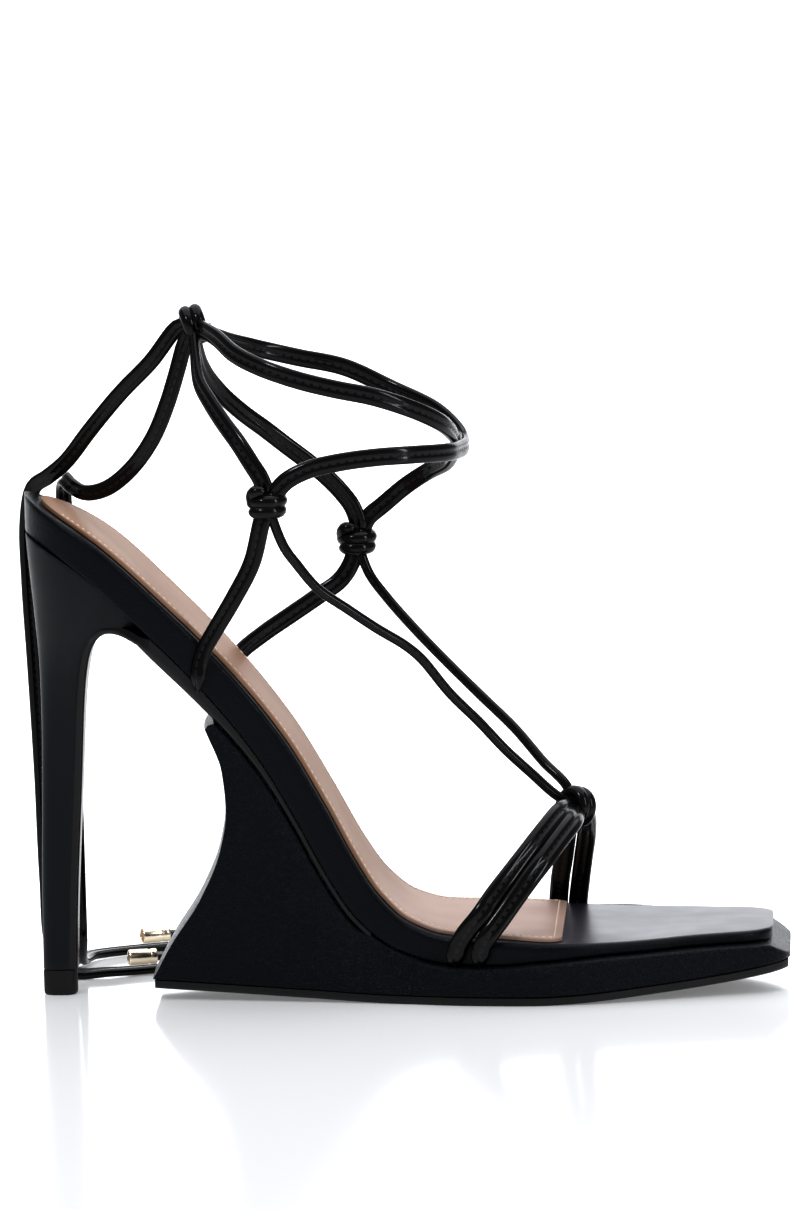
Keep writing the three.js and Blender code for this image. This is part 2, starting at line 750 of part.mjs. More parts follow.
const TOE_OUTER_BACK = [
  beside(0.572, -1, BAND * 0.74),
  beside(0.577, -1, BAND * 0.3),
  beside(0.586, -1, -BAND * 0.12, 0.5),
  spot(0.609, -0.44, 0.085),
  spot(0.627, -0.413, 0.146),
  spot(0.647, -0.38, 0.207),
  spot(0.668, -0.335, 0.27),
  spot(0.694, -0.26, 0.345),
  spot(0.716, -0.14, 0.395),
  TOE_KNOT,
];
const TOE_OUTER_FRONT = [
  beside(0.606, -1, BAND * 0.62),
  beside(0.61, -1, BAND * 0.26),
  beside(0.617, -1, -BAND * 0.1, 0.5),
  spot(0.638, -0.435, 0.08),
  spot(0.658, -0.41, 0.148),
  spot(0.678, -0.38, 0.213),
  spot(0.698, -0.335, 0.272),
  spot(0.717, -0.25, 0.325),
  spot(0.734, -0.14, 0.368),
  TOE_KNOT,
];
const TOE_INNER_BACK = [
  beside(0.703, 1, BAND * 0.42),
  beside(0.704, 1, 0, 0.4),
  spot(0.708, 0.5, 0.09),
  spot(0.714, 0.435, 0.17),
  spot(0.72, 0.35, 0.262),
  spot(0.727, 0.18, 0.347),
  TOE_KNOT,
];
const TOE_INNER_FRONT = [
  beside(0.729, 1, BAND * 0.4),
  beside(0.731, 1, 0, 0.4),
  spot(0.736, 0.5, 0.09),
  spot(0.741, 0.435, 0.17),
  spot(0.747, 0.335, 0.262),
  spot(0.748, 0.17, 0.347),
  TOE_KNOT,
];

// A flat strap swept along a route, its face turned away from the ankle or to a given side
function strap(route, width, thickness, steps, face = null, sides = 8) {
  const curve = new THREE.CatmullRomCurve3(route, false, "centripetal");
  const points = curve.getSpacedPoints(steps);
  const axis = new THREE.Vector3(bedX(0.4), 0, 0);
  let across = null;
  const rings = points.map((p, i) => {
    const ahead = points[Math.min(i + 1, steps)].clone();
    ahead.sub(points[Math.max(i - 1, 0)]).normalize();
    const out = face || new THREE.Vector3(p.x - axis.x, p.y * STRAP_TURN, 0).normalize();
    const flat = new THREE.Vector3().crossVectors(ahead, out);
    const wanted = flat.length() > 0.2 ? flat.normalize() : across;
    across = across && wanted.dot(across) < 0 ? wanted.clone().negate() : wanted;
    const skin = new THREE.Vector3().crossVectors(across, ahead).normalize();
    return spread(0, 1, sides).slice(0, sides).map((turn) => {
      const angle = (turn + 0.5 / sides) * 2 * Math.PI;
      return p.clone()
        .addScaledVector(across, (Math.cos(angle) * width) / 2)
        .addScaledVector(skin, (Math.sin(angle) * thickness) / 2);
    });
  });
  return solid(loft(rings));
}

const cordage = (route, steps) => strap(route, CORD_DIAMETER, CORD_DIAMETER, steps, null, 6);

// One turn of cord round a knot
function wrap(centre, axis, radius, thick, flatness = 1) {
  const side = Math.abs(axis.z) > 0.9 ? new THREE.Vector3(1, 0, 0) : new THREE.Vector3(0, 0, 1);
  const u = new THREE.Vector3().crossVectors(axis, side).normalize();
  const v = new THREE.Vector3().crossVectors(axis, u).normalize();
  const ring = new THREE.TorusGeometry(radius, thick / 2, 6, 10);
  ring.scale(1, flatness, 1);
  ring.applyMatrix4(new THREE.Matrix4().makeBasis(u, v, axis.clone().normalize()));
  ring.translate(centre.x, centre.y, centre.z);
  return solid(ring);
}

function knot(centre, axis, wraps = 2) {
  const core = new THREE.SphereGeometry(KNOT_WIDTH * 0.36, 8, 6);
  core.translate(centre.x, centre.y, centre.z);
  const radius = (KNOT_WIDTH - CORD_DIAMETER) / 2;
  const pitch = (KNOT_LENGTH - CORD_DIAMETER) / wraps;
  const turns = spread(0, 1, wraps).slice(0, wraps).map((share, i) => {
    const shift = (i - (wraps - 1) / 2) * pitch;
    return wrap(centre.clone().addScaledVector(axis, shift), axis, radius, CORD_DIAMETER, 0.85);
  });
  return joined([solid(core), ...turns]);
}

function strapUpper() {
  const up = new THREE.Vector3(0.12, 0, 1).normalize();
  const outerFace = new THREE.Vector3(0.2, -0.9, 0.4);
  const innerFace = new THREE.Vector3(0.2, 0.9, 0.4);
  const toeStrap = (route, steps, face) => {
    return strap(route, TOE_STRAP_WIDTH, TOE_STRAP_THICKNESS, steps, face);
  };
  const straps = [
    strap(OUTER_LOOP, STRAP_WIDTH, STRAP_THICKNESS, 14),
    strap(INNER_LOOP, STRAP_WIDTH, STRAP_THICKNESS, 14),
    cordage(OUTER_INSTEP, 22),
    cordage(INNER_INSTEP, 18),
    strap(OUTER_RISE, STRAP_WIDTH, STRAP_THICKNESS, 12),
    strap(INNER_RISE, STRAP_WIDTH, STRAP_THICKNESS, 16),
    strap(OUTER_FRONT, STRAP_WIDTH, STRAP_THICKNESS, 26),
    strap(INNER_FRONT, STRAP_WIDTH, STRAP_THICKNESS, 25),
    toeStrap(TOE_OUTER_BACK, 14, outerFace),
    toeStrap(TOE_OUTER_FRONT, 14, outerFace),
    toeStrap(TOE_INNER_BACK, 13, innerFace),
    toeStrap(TOE_INNER_FRONT, 13, innerFace),
    knot(OUTER_KNOT, up),
    knot(INNER_KNOT, up),
    knot(TOE_KNOT, new THREE.Vector3(0.5, 0.6, -0.2).normalize()),
    knot(BACK_KNOT, new THREE.Vector3(1, 0, 0.2).normalize()),
  ];
  const net = joined(straps);
  const clear = solid(footbed(GAP));
  return surface(net.subtract(clear).subtract(ledgeCutter()));
}

// The platform's top with its clearance, so that strap ends stop on the ledge
function ledgeCutter() {
  const xs = spread(SOLE_FRONT + 4, PLATFORM_FRONT, 20);
  return solid(loft(xs.map((x) => {
    const reach = BALL_WIDTH;
    const top = wedgeTop(Math.min(x, BED_FRONT)) + GAP;
    return [
      new THREE.Vector3(x, -reach, -TIP_HEIGHT),
      new THREE.Vector3(x, -reach, top),
      new THREE.Vector3(x, reach, top),
      new THREE.Vector3(x, reach, -TIP_HEIGHT),
    ];
  })));
}

// Ties: points chosen by hand, from the back knot over the seat and down to the floor
const OUTER_TIE = [
  [37.6, 1.6, 173.6], [35.2, 1.8, 165.4], [32.4, 2.0, 157.0], [28.4, 2.6, 148.0],
  [22.6, 4.4, 140.0], [15.8, 7.6, 134.4], [9.6, 12.0, 132.6], [5.4, 17.0, 134.0],
  [3.2, 21.8, 135.4], [2.6, 26.0, 132.5], [2.6, 28.0, 124.0], [2.8, 28.2, 105.0],
  [3.0, 28.2, 80.0], [3.2, 28.6, 52.0], [3.2, 29.8, 26.0], [3.0, 33.6, 9.0],
  [2.4, 42.0, 2.4], [5.0, 56.0, 2.0], [20.0, 68.0, 2.0], [50.0, 78.0, 2.0],
  [86.0, 88.0, 2.0], [122.0, 98.0, 2.0], [148.0, 104.0, 2.0], [160.0, 114.0, 2.0],
  [150.0, 124.0, 2.0], [122.0, 122.0, 2.0], [90.0, 114.0, 2.0], [60.0, 104.0, 2.0],
  [38.0, 94.0, 2.0], [24.0, 88.0, 2.0],
];
const INNER_TIE = [
  [36.0, 3.1, 177.5], [28.2, 4.6, 168.0], [20.0, 7.0, 159.8], [11.4, 10.4, 149.8],
  [4.4, 14.0, 141.0], [-0.8, 17.2, 136.6], [-5.0, 20.4, 133.4], [-7.0, 22.2, 124.0],
  [-7.0, 22.6, 108.0], [-6.0, 22.6, 84.0], [-5.0, 22.4, 56.0], [-4.4, 22.2, 28.0],
  [-3.2, 22.0, 9.0], [1.0, 22.6, 2.4], [12.0, 26.0, 2.0], [30.0, 34.0, 2.0],
  [56.0, 42.0, 2.0], [88.0, 54.0, 2.0], [122.0, 63.0, 2.0], [154.0, 62.0, 2.0],
  [176.0, 54.0, 2.0], [188.0, 62.0, 2.0], [180.0, 76.0, 2.0], [152.0, 82.0, 2.0],
  [118.0, 78.0, 2.0], [84.0, 68.0, 2.0], [54.0, 58.0, 2.0], [34.0, 51.0, 2.0],
  [23.0, 48.0, 2.0],
];

const toPoints = (list) => list.map(([x, y, z]) => new THREE.Vector3(x, y, z));

function tie(list) {
  const curve = new THREE.CatmullRomCurve3(toPoints(list), false, "centripetal");
  const section = new THREE.Shape(spread(0, 1, TIE_SIDES).slice(0, TIE_SIDES).map((turn) => {
    const angle = turn * 2 * Math.PI;
    return new THREE.Vector2(Math.cos(angle), Math.sin(angle)).multiplyScalar(TIE_DIAMETER / 2);
  }));
  const geometry = new THREE.ExtrudeGeometry(section, { steps: TIE_STEPS, extrudePath: curve });
  return surface(solid(geometry));
}

// The metal end of a tie, crimped near its mouth
function tieTip(list) {
  const [before, end] = toPoints(list.slice(-2));
  const ahead = end.clone().sub(before).normalize();
  const radius = TIE_TIP_DIAMETER / 2;
  const rim = radius - TIE_TIP_BEVEL * 0.5;
  const profile = [
    [0, 0],
    [rim, 0],
    [radius, TIE_TIP_BEVEL],
    [radius, TIE_TIP_LENGTH * 0.2],
    [radius * TIE_TIP_CRIMP, TIE_TIP_LENGTH * 0.3],
    [radius, TIE_TIP_LENGTH * 0.4],
    [radius, TIE_TIP_LENGTH - TIE_TIP_BEVEL],
    [rim, TIE_TIP_LENGTH],
    [0, TIE_TIP_LENGTH],
  ].map(([r, y]) => new THREE.Vector2(r, y));
  const geometry = new THREE.LatheGeometry(profile, 10);
  const turn = new THREE.Quaternion().setFromUnitVectors(new THREE.Vector3(0, 1, 0), ahead);
  geometry.applyQuaternion(turn);
  const seat = end.clone().addScaledVector(ahead, GAP);
  geometry.translate(seat.x, seat.y, radius + LAST_SLIVER);
  return surface(solid(geometry));
}

function piece(name, geometry, look) {
  const mesh = new THREE.Mesh(geometry, new THREE.MeshStandardMaterial(look));
  mesh.name = name;
  return mesh;
}

const group = new THREE.Group();
group.add(
  piece("heel_tip", heelTip(), RUBBER),
  piece("heel", heel(), LEATHER),
  piece("footbed", footbed(), LEATHER),
  piece("insole", insole(), SOCK),
  piece("waist_sole", waistSole(), LEATHER),
  piece("wedge_platform", wedgePlatform(), LEATHER),
  piece("outsole", outsole(), RUBBER),
  piece("strap_upper", strapUpper(), GLOSS_LEATHER),
  piece("tie_outer", tie(OUTER_TIE), GLOSS_LEATHER),
  piece("tie_inner", tie(INNER_TIE), GLOSS_LEATHER),
  piece("tie_tip_outer", tieTip(OUTER_TIE), GOLD),
  piece("tie_tip_inner", tieTip(INNER_TIE), GOLD),
);

export default group;
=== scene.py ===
"""Looks of a black lace-up sandal with a tall slim heel and a cut-out wedge platform.

Metres, +X to the toe, +Y to the inner side of the foot, +Z up. The origin lies on the floor
under the middle of the heel tip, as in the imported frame.
"""

import math

import bpy
from bpy.props import FloatProperty, FloatVectorProperty, PointerProperty
from mathutils import Matrix, Vector


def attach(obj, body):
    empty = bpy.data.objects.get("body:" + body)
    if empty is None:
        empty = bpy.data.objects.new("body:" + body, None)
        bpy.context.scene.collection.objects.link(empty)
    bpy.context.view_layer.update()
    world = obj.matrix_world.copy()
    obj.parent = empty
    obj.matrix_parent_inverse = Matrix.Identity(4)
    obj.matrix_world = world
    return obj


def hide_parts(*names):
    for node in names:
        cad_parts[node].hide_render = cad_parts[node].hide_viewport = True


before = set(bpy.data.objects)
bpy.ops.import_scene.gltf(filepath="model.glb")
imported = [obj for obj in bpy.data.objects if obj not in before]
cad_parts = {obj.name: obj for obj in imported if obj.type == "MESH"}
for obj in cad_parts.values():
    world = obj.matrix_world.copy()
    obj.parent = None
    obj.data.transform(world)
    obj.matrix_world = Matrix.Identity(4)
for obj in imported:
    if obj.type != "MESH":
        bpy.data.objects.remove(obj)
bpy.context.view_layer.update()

bl_info = {
    "name": "Lace-up sandal",
    "version": (1, 0, 0),
    "blender": (4, 5, 0),
    "location": "View3D > Sidebar > Sandal",
    "description": "Models a lace-up sandal with a cut-out wedge platform, piece by piece",
    "category": "Add Mesh",
}

MM = 0.001
UPWARD = Vector((0, 0, 1))
SIDES = ("outer", "inner")

# Sections along the pieces: how far apart, or how many
STRAP_STEP = 1.3 * MM
TIE_STEP = 1.8 * MM
KNOT_STEP = 0.7 * MM
CORE_STEP = 0.8 * MM
BED_SECTIONS = 90
PLATFORM_SECTIONS = 110
HEEL_SECTIONS = 70
BREAST_SECTIONS = 45
WAIST_SECTIONS = 40

# Degrees round the seat's curve and round a toe corner where sections crowd
SEAT_TURNS = (2, 8, 15, 22, 30, 38, 46, 54, 62, 70)
TOE_TURNS = (10, 22, 35, 48, 60, 72, 82, 88)

# Softness of an edge that lies against another piece
HEM = 0.5 * MM
FINE_HEM = 0.05 * MM

# Lights: place, spans and power
LIGHTS = {
    "key": ((-0.9, -1.5, 1.7), (0.3, 0.3), 15),
    "strip": ((1.5, -1.1, 0.8), (0.2, 1.2), 12),
    "top": ((0.1, 0.6, 2.8), (4.5, 4.5), 120),
    "back": ((0.1, 8, 2.1), (11, 4), 300),
}
LIGHT_AIM = Vector((0.09, 0, 0.08))
LAMP_COLOUR = (0.955, 0.968, 1)
FLOOR_SIZE = 24
FLOOR_PLACE = (0, 4, 0)
FAR_CLIP = 60
VIEW_GAMMA = 0.76
SKY_COLOUR = (0.97, 0.98, 1, 1)
WORN_SOCK = (0.31, 0.19, 0.13, 1)
STITCH_FORM = (1, 0.42, 0.36)


def table(columns, *rows):
    """Rows of numbers under named columns."""
    return [dict(zip(columns.split(), row)) for row in rows]


# Metal end of a tie: along its length, share of its radius
TIP_PROFILE = (
    (0, 0.62), (0, 0.9), (0.03, 0.97), (0.06, 1), (0.16, 1), (0.19, 0.985),
    (0.22, 0.93), (0.25, 0.9), (0.28, 0.93), (0.31, 0.985), (0.34, 1), (0.6, 1),
    (0.93, 1), (0.97, 0.97), (1, 0.9), (1, 0.8), (0.98, 0.76), (0.98, 0.3),
)

# Heel tip: share of its outline, height
HEEL_TIP_PROFILE = (
    (0.9, 0), (0.96, 0.04), (1, 0.12), (1, 0.5), (1.01, 0.9), (1, 0.96), (0.97, 1),
)

# Footbed by length: top as a share of the seat height, sides of the ball width, and the band's
# share of its full height
BED = table(
    "along top outer inner band",
    (0, 1, 0.325, 0.325, 1),
    (0.097, 0.914, 0.322, 0.322, 1),
    (0.2, 0.774, 0.31, 0.31, 1),
    (0.28, 0.649, 0.29, 0.295, 1),
    (0.35, 0.514, 0.276, 0.288, 1),
    (0.4, 0.387, 0.28, 0.297, 1),
    (0.44, 0.276, 0.295, 0.323, 1),
    (0.47, 0.209, 0.313, 0.359, 1),
    (0.51, 0.1575, 0.346, 0.41, 0.93),
    (0.56, 0.133, 0.387, 0.469, 0.88),
    (0.64, 0.1245, 0.435, 0.531, 0.76),
    (0.7, 0.1175, 0.441, 0.546, 0.53),
    (0.8, 0.1145, 0.378, 0.487, 0.36),
    (0.9, 0.1185, 0.295, 0.387, 0.34),
    (1, 0.121, 0.237, 0.308, 0.34),
)

# Wedge platform's foot by length: sides of the ball width, lift of the toe spring
PLATFORM = table(
    "along outer inner lift",
    (0, 0.199, 0.199, 0.5),
    (0.12, 0.254, 0.26, 0.35),
    (0.24, 0.308, 0.327, 0.18),
    (0.4, 0.395, 0.46, 0),
    (0.5, 0.46, 0.553, 0),
    (0.607, 0.49, 0.585, 0),
    (0.66, 0.482, 0.575, 0.04),
    (0.8, 0.404, 0.506, 0.31),
    (0.9, 0.34, 0.428, 0.58),
    (1, 0.288, 0.359, 1),
)

# Hollow back of the wedge: up as a share of its tip height, inward as a share of its scoop
WEDGE_HOLLOW = table(
    "up inward",
    (0.06, 0),
    (0.2, 0.26),
    (0.38, 0.66),
    (0.56, 0.92),
    (0.7, 1),
    (0.84, 0.96),
    (1, 0.76),
)

# Heel by height: up as a share of the seat height above the tip, back and front as shares of
# the stem's length, half as a share of its width
HEEL = table(
    "up back front half",
    (0, 0.47, 0.5, 0.5),
    (0.16, 0.45, 0.6, 0.54),
    (0.38, 0.37, 0.85, 0.62),
    (0.53, 0.33, 1.2, 0.78),
    (0.62, 0.34, 1.7, 1.05),
    (0.67, 0.37, 2.4, 1.4),
    (0.71, 0.41, 3.2, 1.8),
    (0.76, 0.46, 3.7, 2.2),
    (0.84, 0.55, 3.8, 2.6),
    (0.93, 0.63, 3.9, 2.85),
    (1.04, 0.65, 3.9, 2.9),
)

# Breast of the heel, from the tip up and over its arch: shares of the stem's length, the seat
# height and the stem's width
BREAST = table(
    "along up half",
    (0.52, 0, 0.5),
    (0.6, 0.15, 0.53),
    (0.79, 0.36, 0.6),
    (0.94, 0.53, 0.78),
    (1.07, 0.605, 1),
    (1.22, 0.643, 1.2),
    (1.44, 0.666, 1.4),
    (1.72, 0.675, 1.65),
    (2.1, 0.672, 2),
    (2.55, 0.657, 2.35),
)

# Thickness of the waist sole by length, as a share of its full thickness
WAIST = table(
    "along thick",
    (0, 0.8),
    (0.16, 0.9),
    (0.22, 1.3),
    (0.28, 1.1),
    (0.34, 0.7),
    (0.4, 0.45),
    (1, 0.4),
)

# Straps: the kind and the points, as shares of the bed's length, the ball width and the net's
# rise. Four numbers give a place beside the band: its length, side, drop in band heights and
# millimetres outward. A name is a knot.
STRAPS = {
    "outer_loop": ("strap", [
        (0.233, -1, 1.66, -1.6), (0.2345, -1, 1.4, 0), (0.238, -1, 0.7, 0), (0.246, -1, 0, 0.5),
        (0.263, -0.343, 0.115), (0.288, -0.378, 0.285), (0.314, -0.4, 0.482), (0.328, -0.41, 0.655),
        "outer",
    ]),
    "inner_loop": ("strap", [
        (0.26, 1, 1.76, -1.6), (0.262, 1, 1.5, 0), (0.268, 1, 0.75, 0), (0.28, 1, 0, 0.5),
        (0.311, 0.345, 0.15), (0.348, 0.375, 0.331), (0.389, 0.398, 0.564), (0.417, 0.405, 0.739),
        (0.434, 0.41, 0.88), "inner",
    ]),
    "outer_instep": ("cord", [
        "outer", (0.357, -0.385, 0.68), (0.374, -0.36, 0.686), (0.4, -0.333, 0.719),
        (0.438, -0.295, 0.823), (0.477, -0.256, 0.89), (0.513, -0.218, 0.9), (0.534, -0.192, 0.874),
        (0.571, -0.141, 0.77), (0.61, -0.09, 0.671), (0.644, -0.06, 0.58), (0.678, -0.03, 0.504),
        (0.71, 0.01, 0.43), "toe",
    ]),
    "inner_instep": ("cord", [
        "inner", (0.457, 0.385, 0.937), (0.48, 0.36, 0.93), (0.518, 0.32, 0.895),
        (0.561, 0.282, 0.82), (0.607, 0.23, 0.722), (0.654, 0.18, 0.622), (0.694, 0.115, 0.522),
        (0.722, 0.07, 0.46), "toe",
    ]),
    "outer_rise": ("strap", [
        "outer", (0.334, -0.41, 0.785), (0.328, -0.405, 0.805), (0.317, -0.39, 0.811),
        (0.299, -0.355, 0.821), (0.279, -0.305, 0.823), (0.259, -0.24, 0.833),
        (0.244, -0.165, 0.85), (0.238, -0.085, 0.91), "back",
    ]),
    "inner_rise": ("strap", [
        "inner", (0.444, 0.41, 1.035), (0.437, 0.41, 1.07), (0.422, 0.407, 1.055),
        (0.4, 0.397, 1.01), (0.379, 0.385, 0.962), (0.35, 0.365, 0.902), (0.32, 0.335, 0.862),
        (0.292, 0.29, 0.834), (0.264, 0.22, 0.83), (0.244, 0.12, 0.87), "back",
    ]),
    "outer_front": ("strap", [
        "outer", (0.349, -0.42, 0.831), (0.364, -0.423, 0.926), (0.394, -0.423, 1.091),
        (0.434, -0.42, 1.297), (0.483, -0.41, 1.481), (0.532, -0.36, 1.557), (0.575, -0.24, 1.571),
        (0.591, -0.1, 1.568), (0.598, 0.02, 1.573), (0.59, 0.13, 1.6), (0.556, 0.25, 1.655),
        (0.495, 0.346, 1.655), (0.43, 0.385, 1.51), (0.367, 0.385, 1.26), (0.306, 0.32, 1.09),
        (0.265, 0.15, 1.02), "back",
    ]),
    "inner_front": ("strap", [
        "inner", (0.449, 0.415, 1.05), (0.457, 0.42, 1.117), (0.478, 0.42, 1.223),
        (0.509, 0.4, 1.348), (0.541, 0.34, 1.434), (0.568, 0.22, 1.488), (0.581, 0.1, 1.535),
        (0.586, -0.02, 1.58), (0.581, -0.14, 1.63), (0.566, -0.25, 1.672), (0.529, -0.345, 1.704),
        (0.48, -0.395, 1.67), (0.431, -0.405, 1.52), (0.382, -0.392, 1.325), (0.332, -0.352, 1.17),
        (0.296, -0.285, 1.094), (0.269, -0.18, 1.062), "back",
    ]),
    "toe_outer_back": ("outer_toe", [
        (0.572, -1, 0.94, -1.2), (0.573, -1, 0.7, 0), (0.577, -1, 0.3, 0), (0.586, -1, -0.12, 0.5),
        (0.609, -0.44, 0.085), (0.627, -0.413, 0.146), (0.647, -0.38, 0.207), (0.668, -0.335, 0.27),
        (0.694, -0.26, 0.345), (0.716, -0.14, 0.395), "toe",
    ]),
    "toe_outer_front": ("outer_toe", [
        (0.606, -1, 0.86, -1.2), (0.607, -1, 0.6, 0), (0.61, -1, 0.26, 0), (0.617, -1, -0.1, 0.5),
        (0.638, -0.435, 0.08), (0.658, -0.41, 0.148), (0.678, -0.38, 0.213), (0.698, -0.335, 0.272),
        (0.717, -0.25, 0.325), (0.734, -0.14, 0.368), "toe",
    ]),
    "toe_inner_back": ("inner_toe", [
        (0.703, 1, 0.6, -1.2), (0.7035, 1, 0.36, 0), (0.704, 1, 0, 0.4), (0.708, 0.5, 0.09),
        (0.714, 0.435, 0.17), (0.72, 0.35, 0.262), (0.727, 0.18, 0.347), "toe",
    ]),
    "toe_inner_front": ("inner_toe", [
        (0.729, 1, 0.58, -1.2), (0.73, 1, 0.34, 0), (0.731, 1, 0, 0.4), (0.736, 0.5, 0.09),
        (0.741, 0.435, 0.17), (0.747, 0.335, 0.262), (0.748, 0.17, 0.347), "toe",
    ]),
}

# Ties: points in millimetres, from the back knot over the seat to the floor
OUTER_TIE = [
    (37.7, 1.6, 173.6), (35.2, 1.8, 165.4), (32.4, 2, 157), (28.4, 2.6, 148),
    (22.6, 4.4, 140), (15.8, 7.6, 134.4), (9.6, 12, 132.6), (5.4, 17, 134),
    (3.2, 21.8, 135.4), (2.6, 26, 132.5), (2.6, 28, 124), (2.8, 28.2, 105),
    (3, 28.2, 80), (3.2, 28.6, 52), (3.2, 29.8, 26), (3, 33.6, 9),
    (2.4, 42, 2.4), (5, 56, 1.6), (20, 68, 1.3), (50, 78, 1.3),
    (86, 88, 1.3), (122, 98, 1.3), (148, 104, 1.3), (160, 114, 1.4),
    (150, 124, 1.4), (122, 122, 1.3), (90, 114, 1.3), (60, 104, 1.3),
    (38, 94, 1.4), (24, 88, 2),
]
INNER_TIE = [
    (36, 3.1, 177.5), (28.2, 4.6, 168), (20, 7, 159.8), (11.4, 10.4, 149.8),
    (4.4, 14, 141), (-0.8, 17.2, 136.6), (-5, 20.4, 133.4), (-7, 22.2, 124),
    (-7, 22.6, 108), (-6, 22.6, 84), (-5, 22.4, 56), (-4.4, 22.2, 28),
    (-3.2, 22, 9), (1, 22.6, 2.4), (12, 26, 1.5), (30, 34, 1.3),
    (56, 42, 1.3), (88, 54, 1.3), (122, 63, 1.3), (154, 62, 1.3),
    (176, 54, 1.4), (188, 62, 1.4), (180, 76, 1.4), (152, 82, 1.3),
    (118, 78, 1.3), (84, 68, 1.3), (54, 58, 1.3), (34, 51, 1.4),
    (23, 48, 2),
]


def size(name, description, millimetres):
    """A length in the sidebar, its default given in millimetres."""
    return FloatProperty(
        name=name, description=description, default=millimetres * MM, unit="LENGTH", precision=4
    )


def tint(name, description, default):
    """A colour in the sidebar."""
    return FloatVectorProperty(
        name=name, description=description, default=default, subtype="COLOR", min=0, max=1
    )


def tilt(name, description, degrees):
    """An angle in the sidebar, its default given in degrees."""
    turn = math.radians(degrees)
    return FloatProperty(name=name, description=description, default=turn, subtype="ANGLE")


class FootbedSizes(bpy.types.PropertyGroup):
    """The footbed, the sock lining on it and the sole under its waist."""

    length: size("Length", "From the seat's back to the toe, along the floor", 196)
    back: size("Back", "The seat's back, from the middle of the heel tip", -6)
    seat_height: size("Seat height", "Top of the seat above the floor", 134.6)
    ball_width: size("Ball width", "Width that the sides are shares of", 78)
    band: size("Band", "Height of the wrapped edge", 8.3)
    edge: size("Edge", "Softness of the upper edge", 2.0)
    seat_radius: size("Seat radius", "Curve of the seat seen from above", 25)
    toe_corner: size("Toe corner", "Curve of the square toe's corners", 8)
    gap: size("Gap", "Clearance between neighbouring pieces", 0.3)
    sock_thickness: size("Sock thickness", "Of the lining", 0.9)
    sock_margin: size("Sock margin", "Rim of footbed left round the lining", 1.6)
    sock_back: size("Sock back", "The lining's back, from the seat's back", 4.5)
    sock_length: size("Sock length", "The lining, along the floor", 136)
    stitch: size("Stitch", "Length of one stitch of the lining", 1.25)
    stitch_step: size("Stitch step", "From one stitch to the next", 1.9)
    stitch_inset: size("Stitch inset", "From the lining's edge", 2.0)


class HeelSizes(bpy.types.PropertyGroup):
    """The heel, its tip and the leather down its breast."""

    stem_length: size("Stem length", "Front to back at the tip", 9.4)
    stem_width: size("Stem width", "Side to side at the tip", 8.6)
    tip_height: size("Tip height", "Of the rubber tip", 6.6)
    sole_thickness: size("Sole thickness", "Of the waist sole", 3)
    sole_front: size("Sole front", "Where the waist sole ends under the wedge", 84)
    flap_inset: size("Flap inset", "Of the waist sole from the heel's sides", 0.4)


class PlatformSizes(bpy.types.PropertyGroup):
    """The wedge platform and its outsole."""

    back: size("Back", "The wedge's back foot", 25.5)
    length: size("Length", "Along the floor", 169)
    corner: size("Corner", "Curve of the toe's corners", 8)
    edge: size("Edge", "Softness of the upper edge", 1.6)
    slant: size("Slant", "How far the front edge drops", 3.2)
    slant_run: size("Slant run", "Length of the dropping front edge", 5.5)
    scoop: size("Scoop", "Depth of the hollow behind the wedge", 21)
    tip_height: size("Tip height", "Top of the hollow", 73)
    bow: size("Bow", "Fullness of the hollow's face", 2)
    nose: size("Nose", "Rounding of the wedge's upper tip", 2.4)
    toe: size("Toe", "Flat at the wedge's lower tip", 1)
    toe_spring: size("Toe spring", "Lift of the toe off the floor", 6.3)
    outsole: size("Outsole", "Thickness", 2.2)
    outsole_inset: size("Outsole inset", "From the platform's sides", 0.6)


class StrapSizes(bpy.types.PropertyGroup):
    """The straps, the cords over the instep, the knots and the ties."""

    width: size("Width", "Of a strap", 4.8)
    thickness: size("Thickness", "Of a strap", 2.3)
    cord: size("Cord", "Diameter of an instep cord", 2.7)
    toe_width: size("Toe width", "Of a strap over the toes", 5.2)
    toe_thickness: size("Toe thickness", "Of a strap over the toes", 2.7)
    net_rise: size("Net rise", "Height that the straps' rises are shares of", 81)
    knot_width: size("Knot width", "Across a knot", 10.8)
    knot_turn: size("Knot turn", "Diameter of a knot's turns", 3.8)
    knot_pitch: size("Knot pitch", "From one turn of a knot to the next", 2.6)
    tie_width: size("Tie width", "Of a tie", 4.4)
    tie_thickness: size("Tie thickness", "Of a tie", 2.4)
    tip_diameter: size("Tip diameter", "Of a tie's metal end", 4.3)
    tip_length: size("Tip length", "Of a tie's metal end", 7.7)
    stitch_step: size("Stitch step", "From one stitch to the next", 2.3)


class Finishes(bpy.types.PropertyGroup):
    """Colours of the materials."""

    leather: tint("Leather", "Heel, footbed edge and platform", (0.0036, 0.005, 0.008))
    satin: tint("Satin", "Bare top of the footbed at the toe", (0.019, 0.017, 0.028))
    strap: tint("Strap", "Glossy strap leather", (0.0028, 0.0028, 0.0034))
    strap_thread: tint("Strap thread", "Stitches down a strap", (0.016, 0.016, 0.019))
    sole: tint("Sole", "Waist sole", (0.006, 0.006, 0.007))
    rubber: tint("Rubber", "Outsole and heel tip", (0.008, 0.008, 0.009))
    sock: tint("Sock", "Lining at the heel", (0.355, 0.21, 0.137))
    # Towards the ball the lining's tan is lightened and greyed by painted glare
    sock_with_glare: tint("Sock with painted glare", "Lining at the ball", (0.435, 0.305, 0.25))
    thread: tint("Thread", "Stitches of the lining", (0.74, 0.62, 0.50))
    metal: tint("Metal", "Pale gold of the tips", (0.80, 0.71, 0.56))
    bronze: tint("Bronze", "End faces of the tips", (0.42, 0.27, 0.17))
    floor: tint("Floor", "Pale floor", (0.84, 0.84, 0.84))


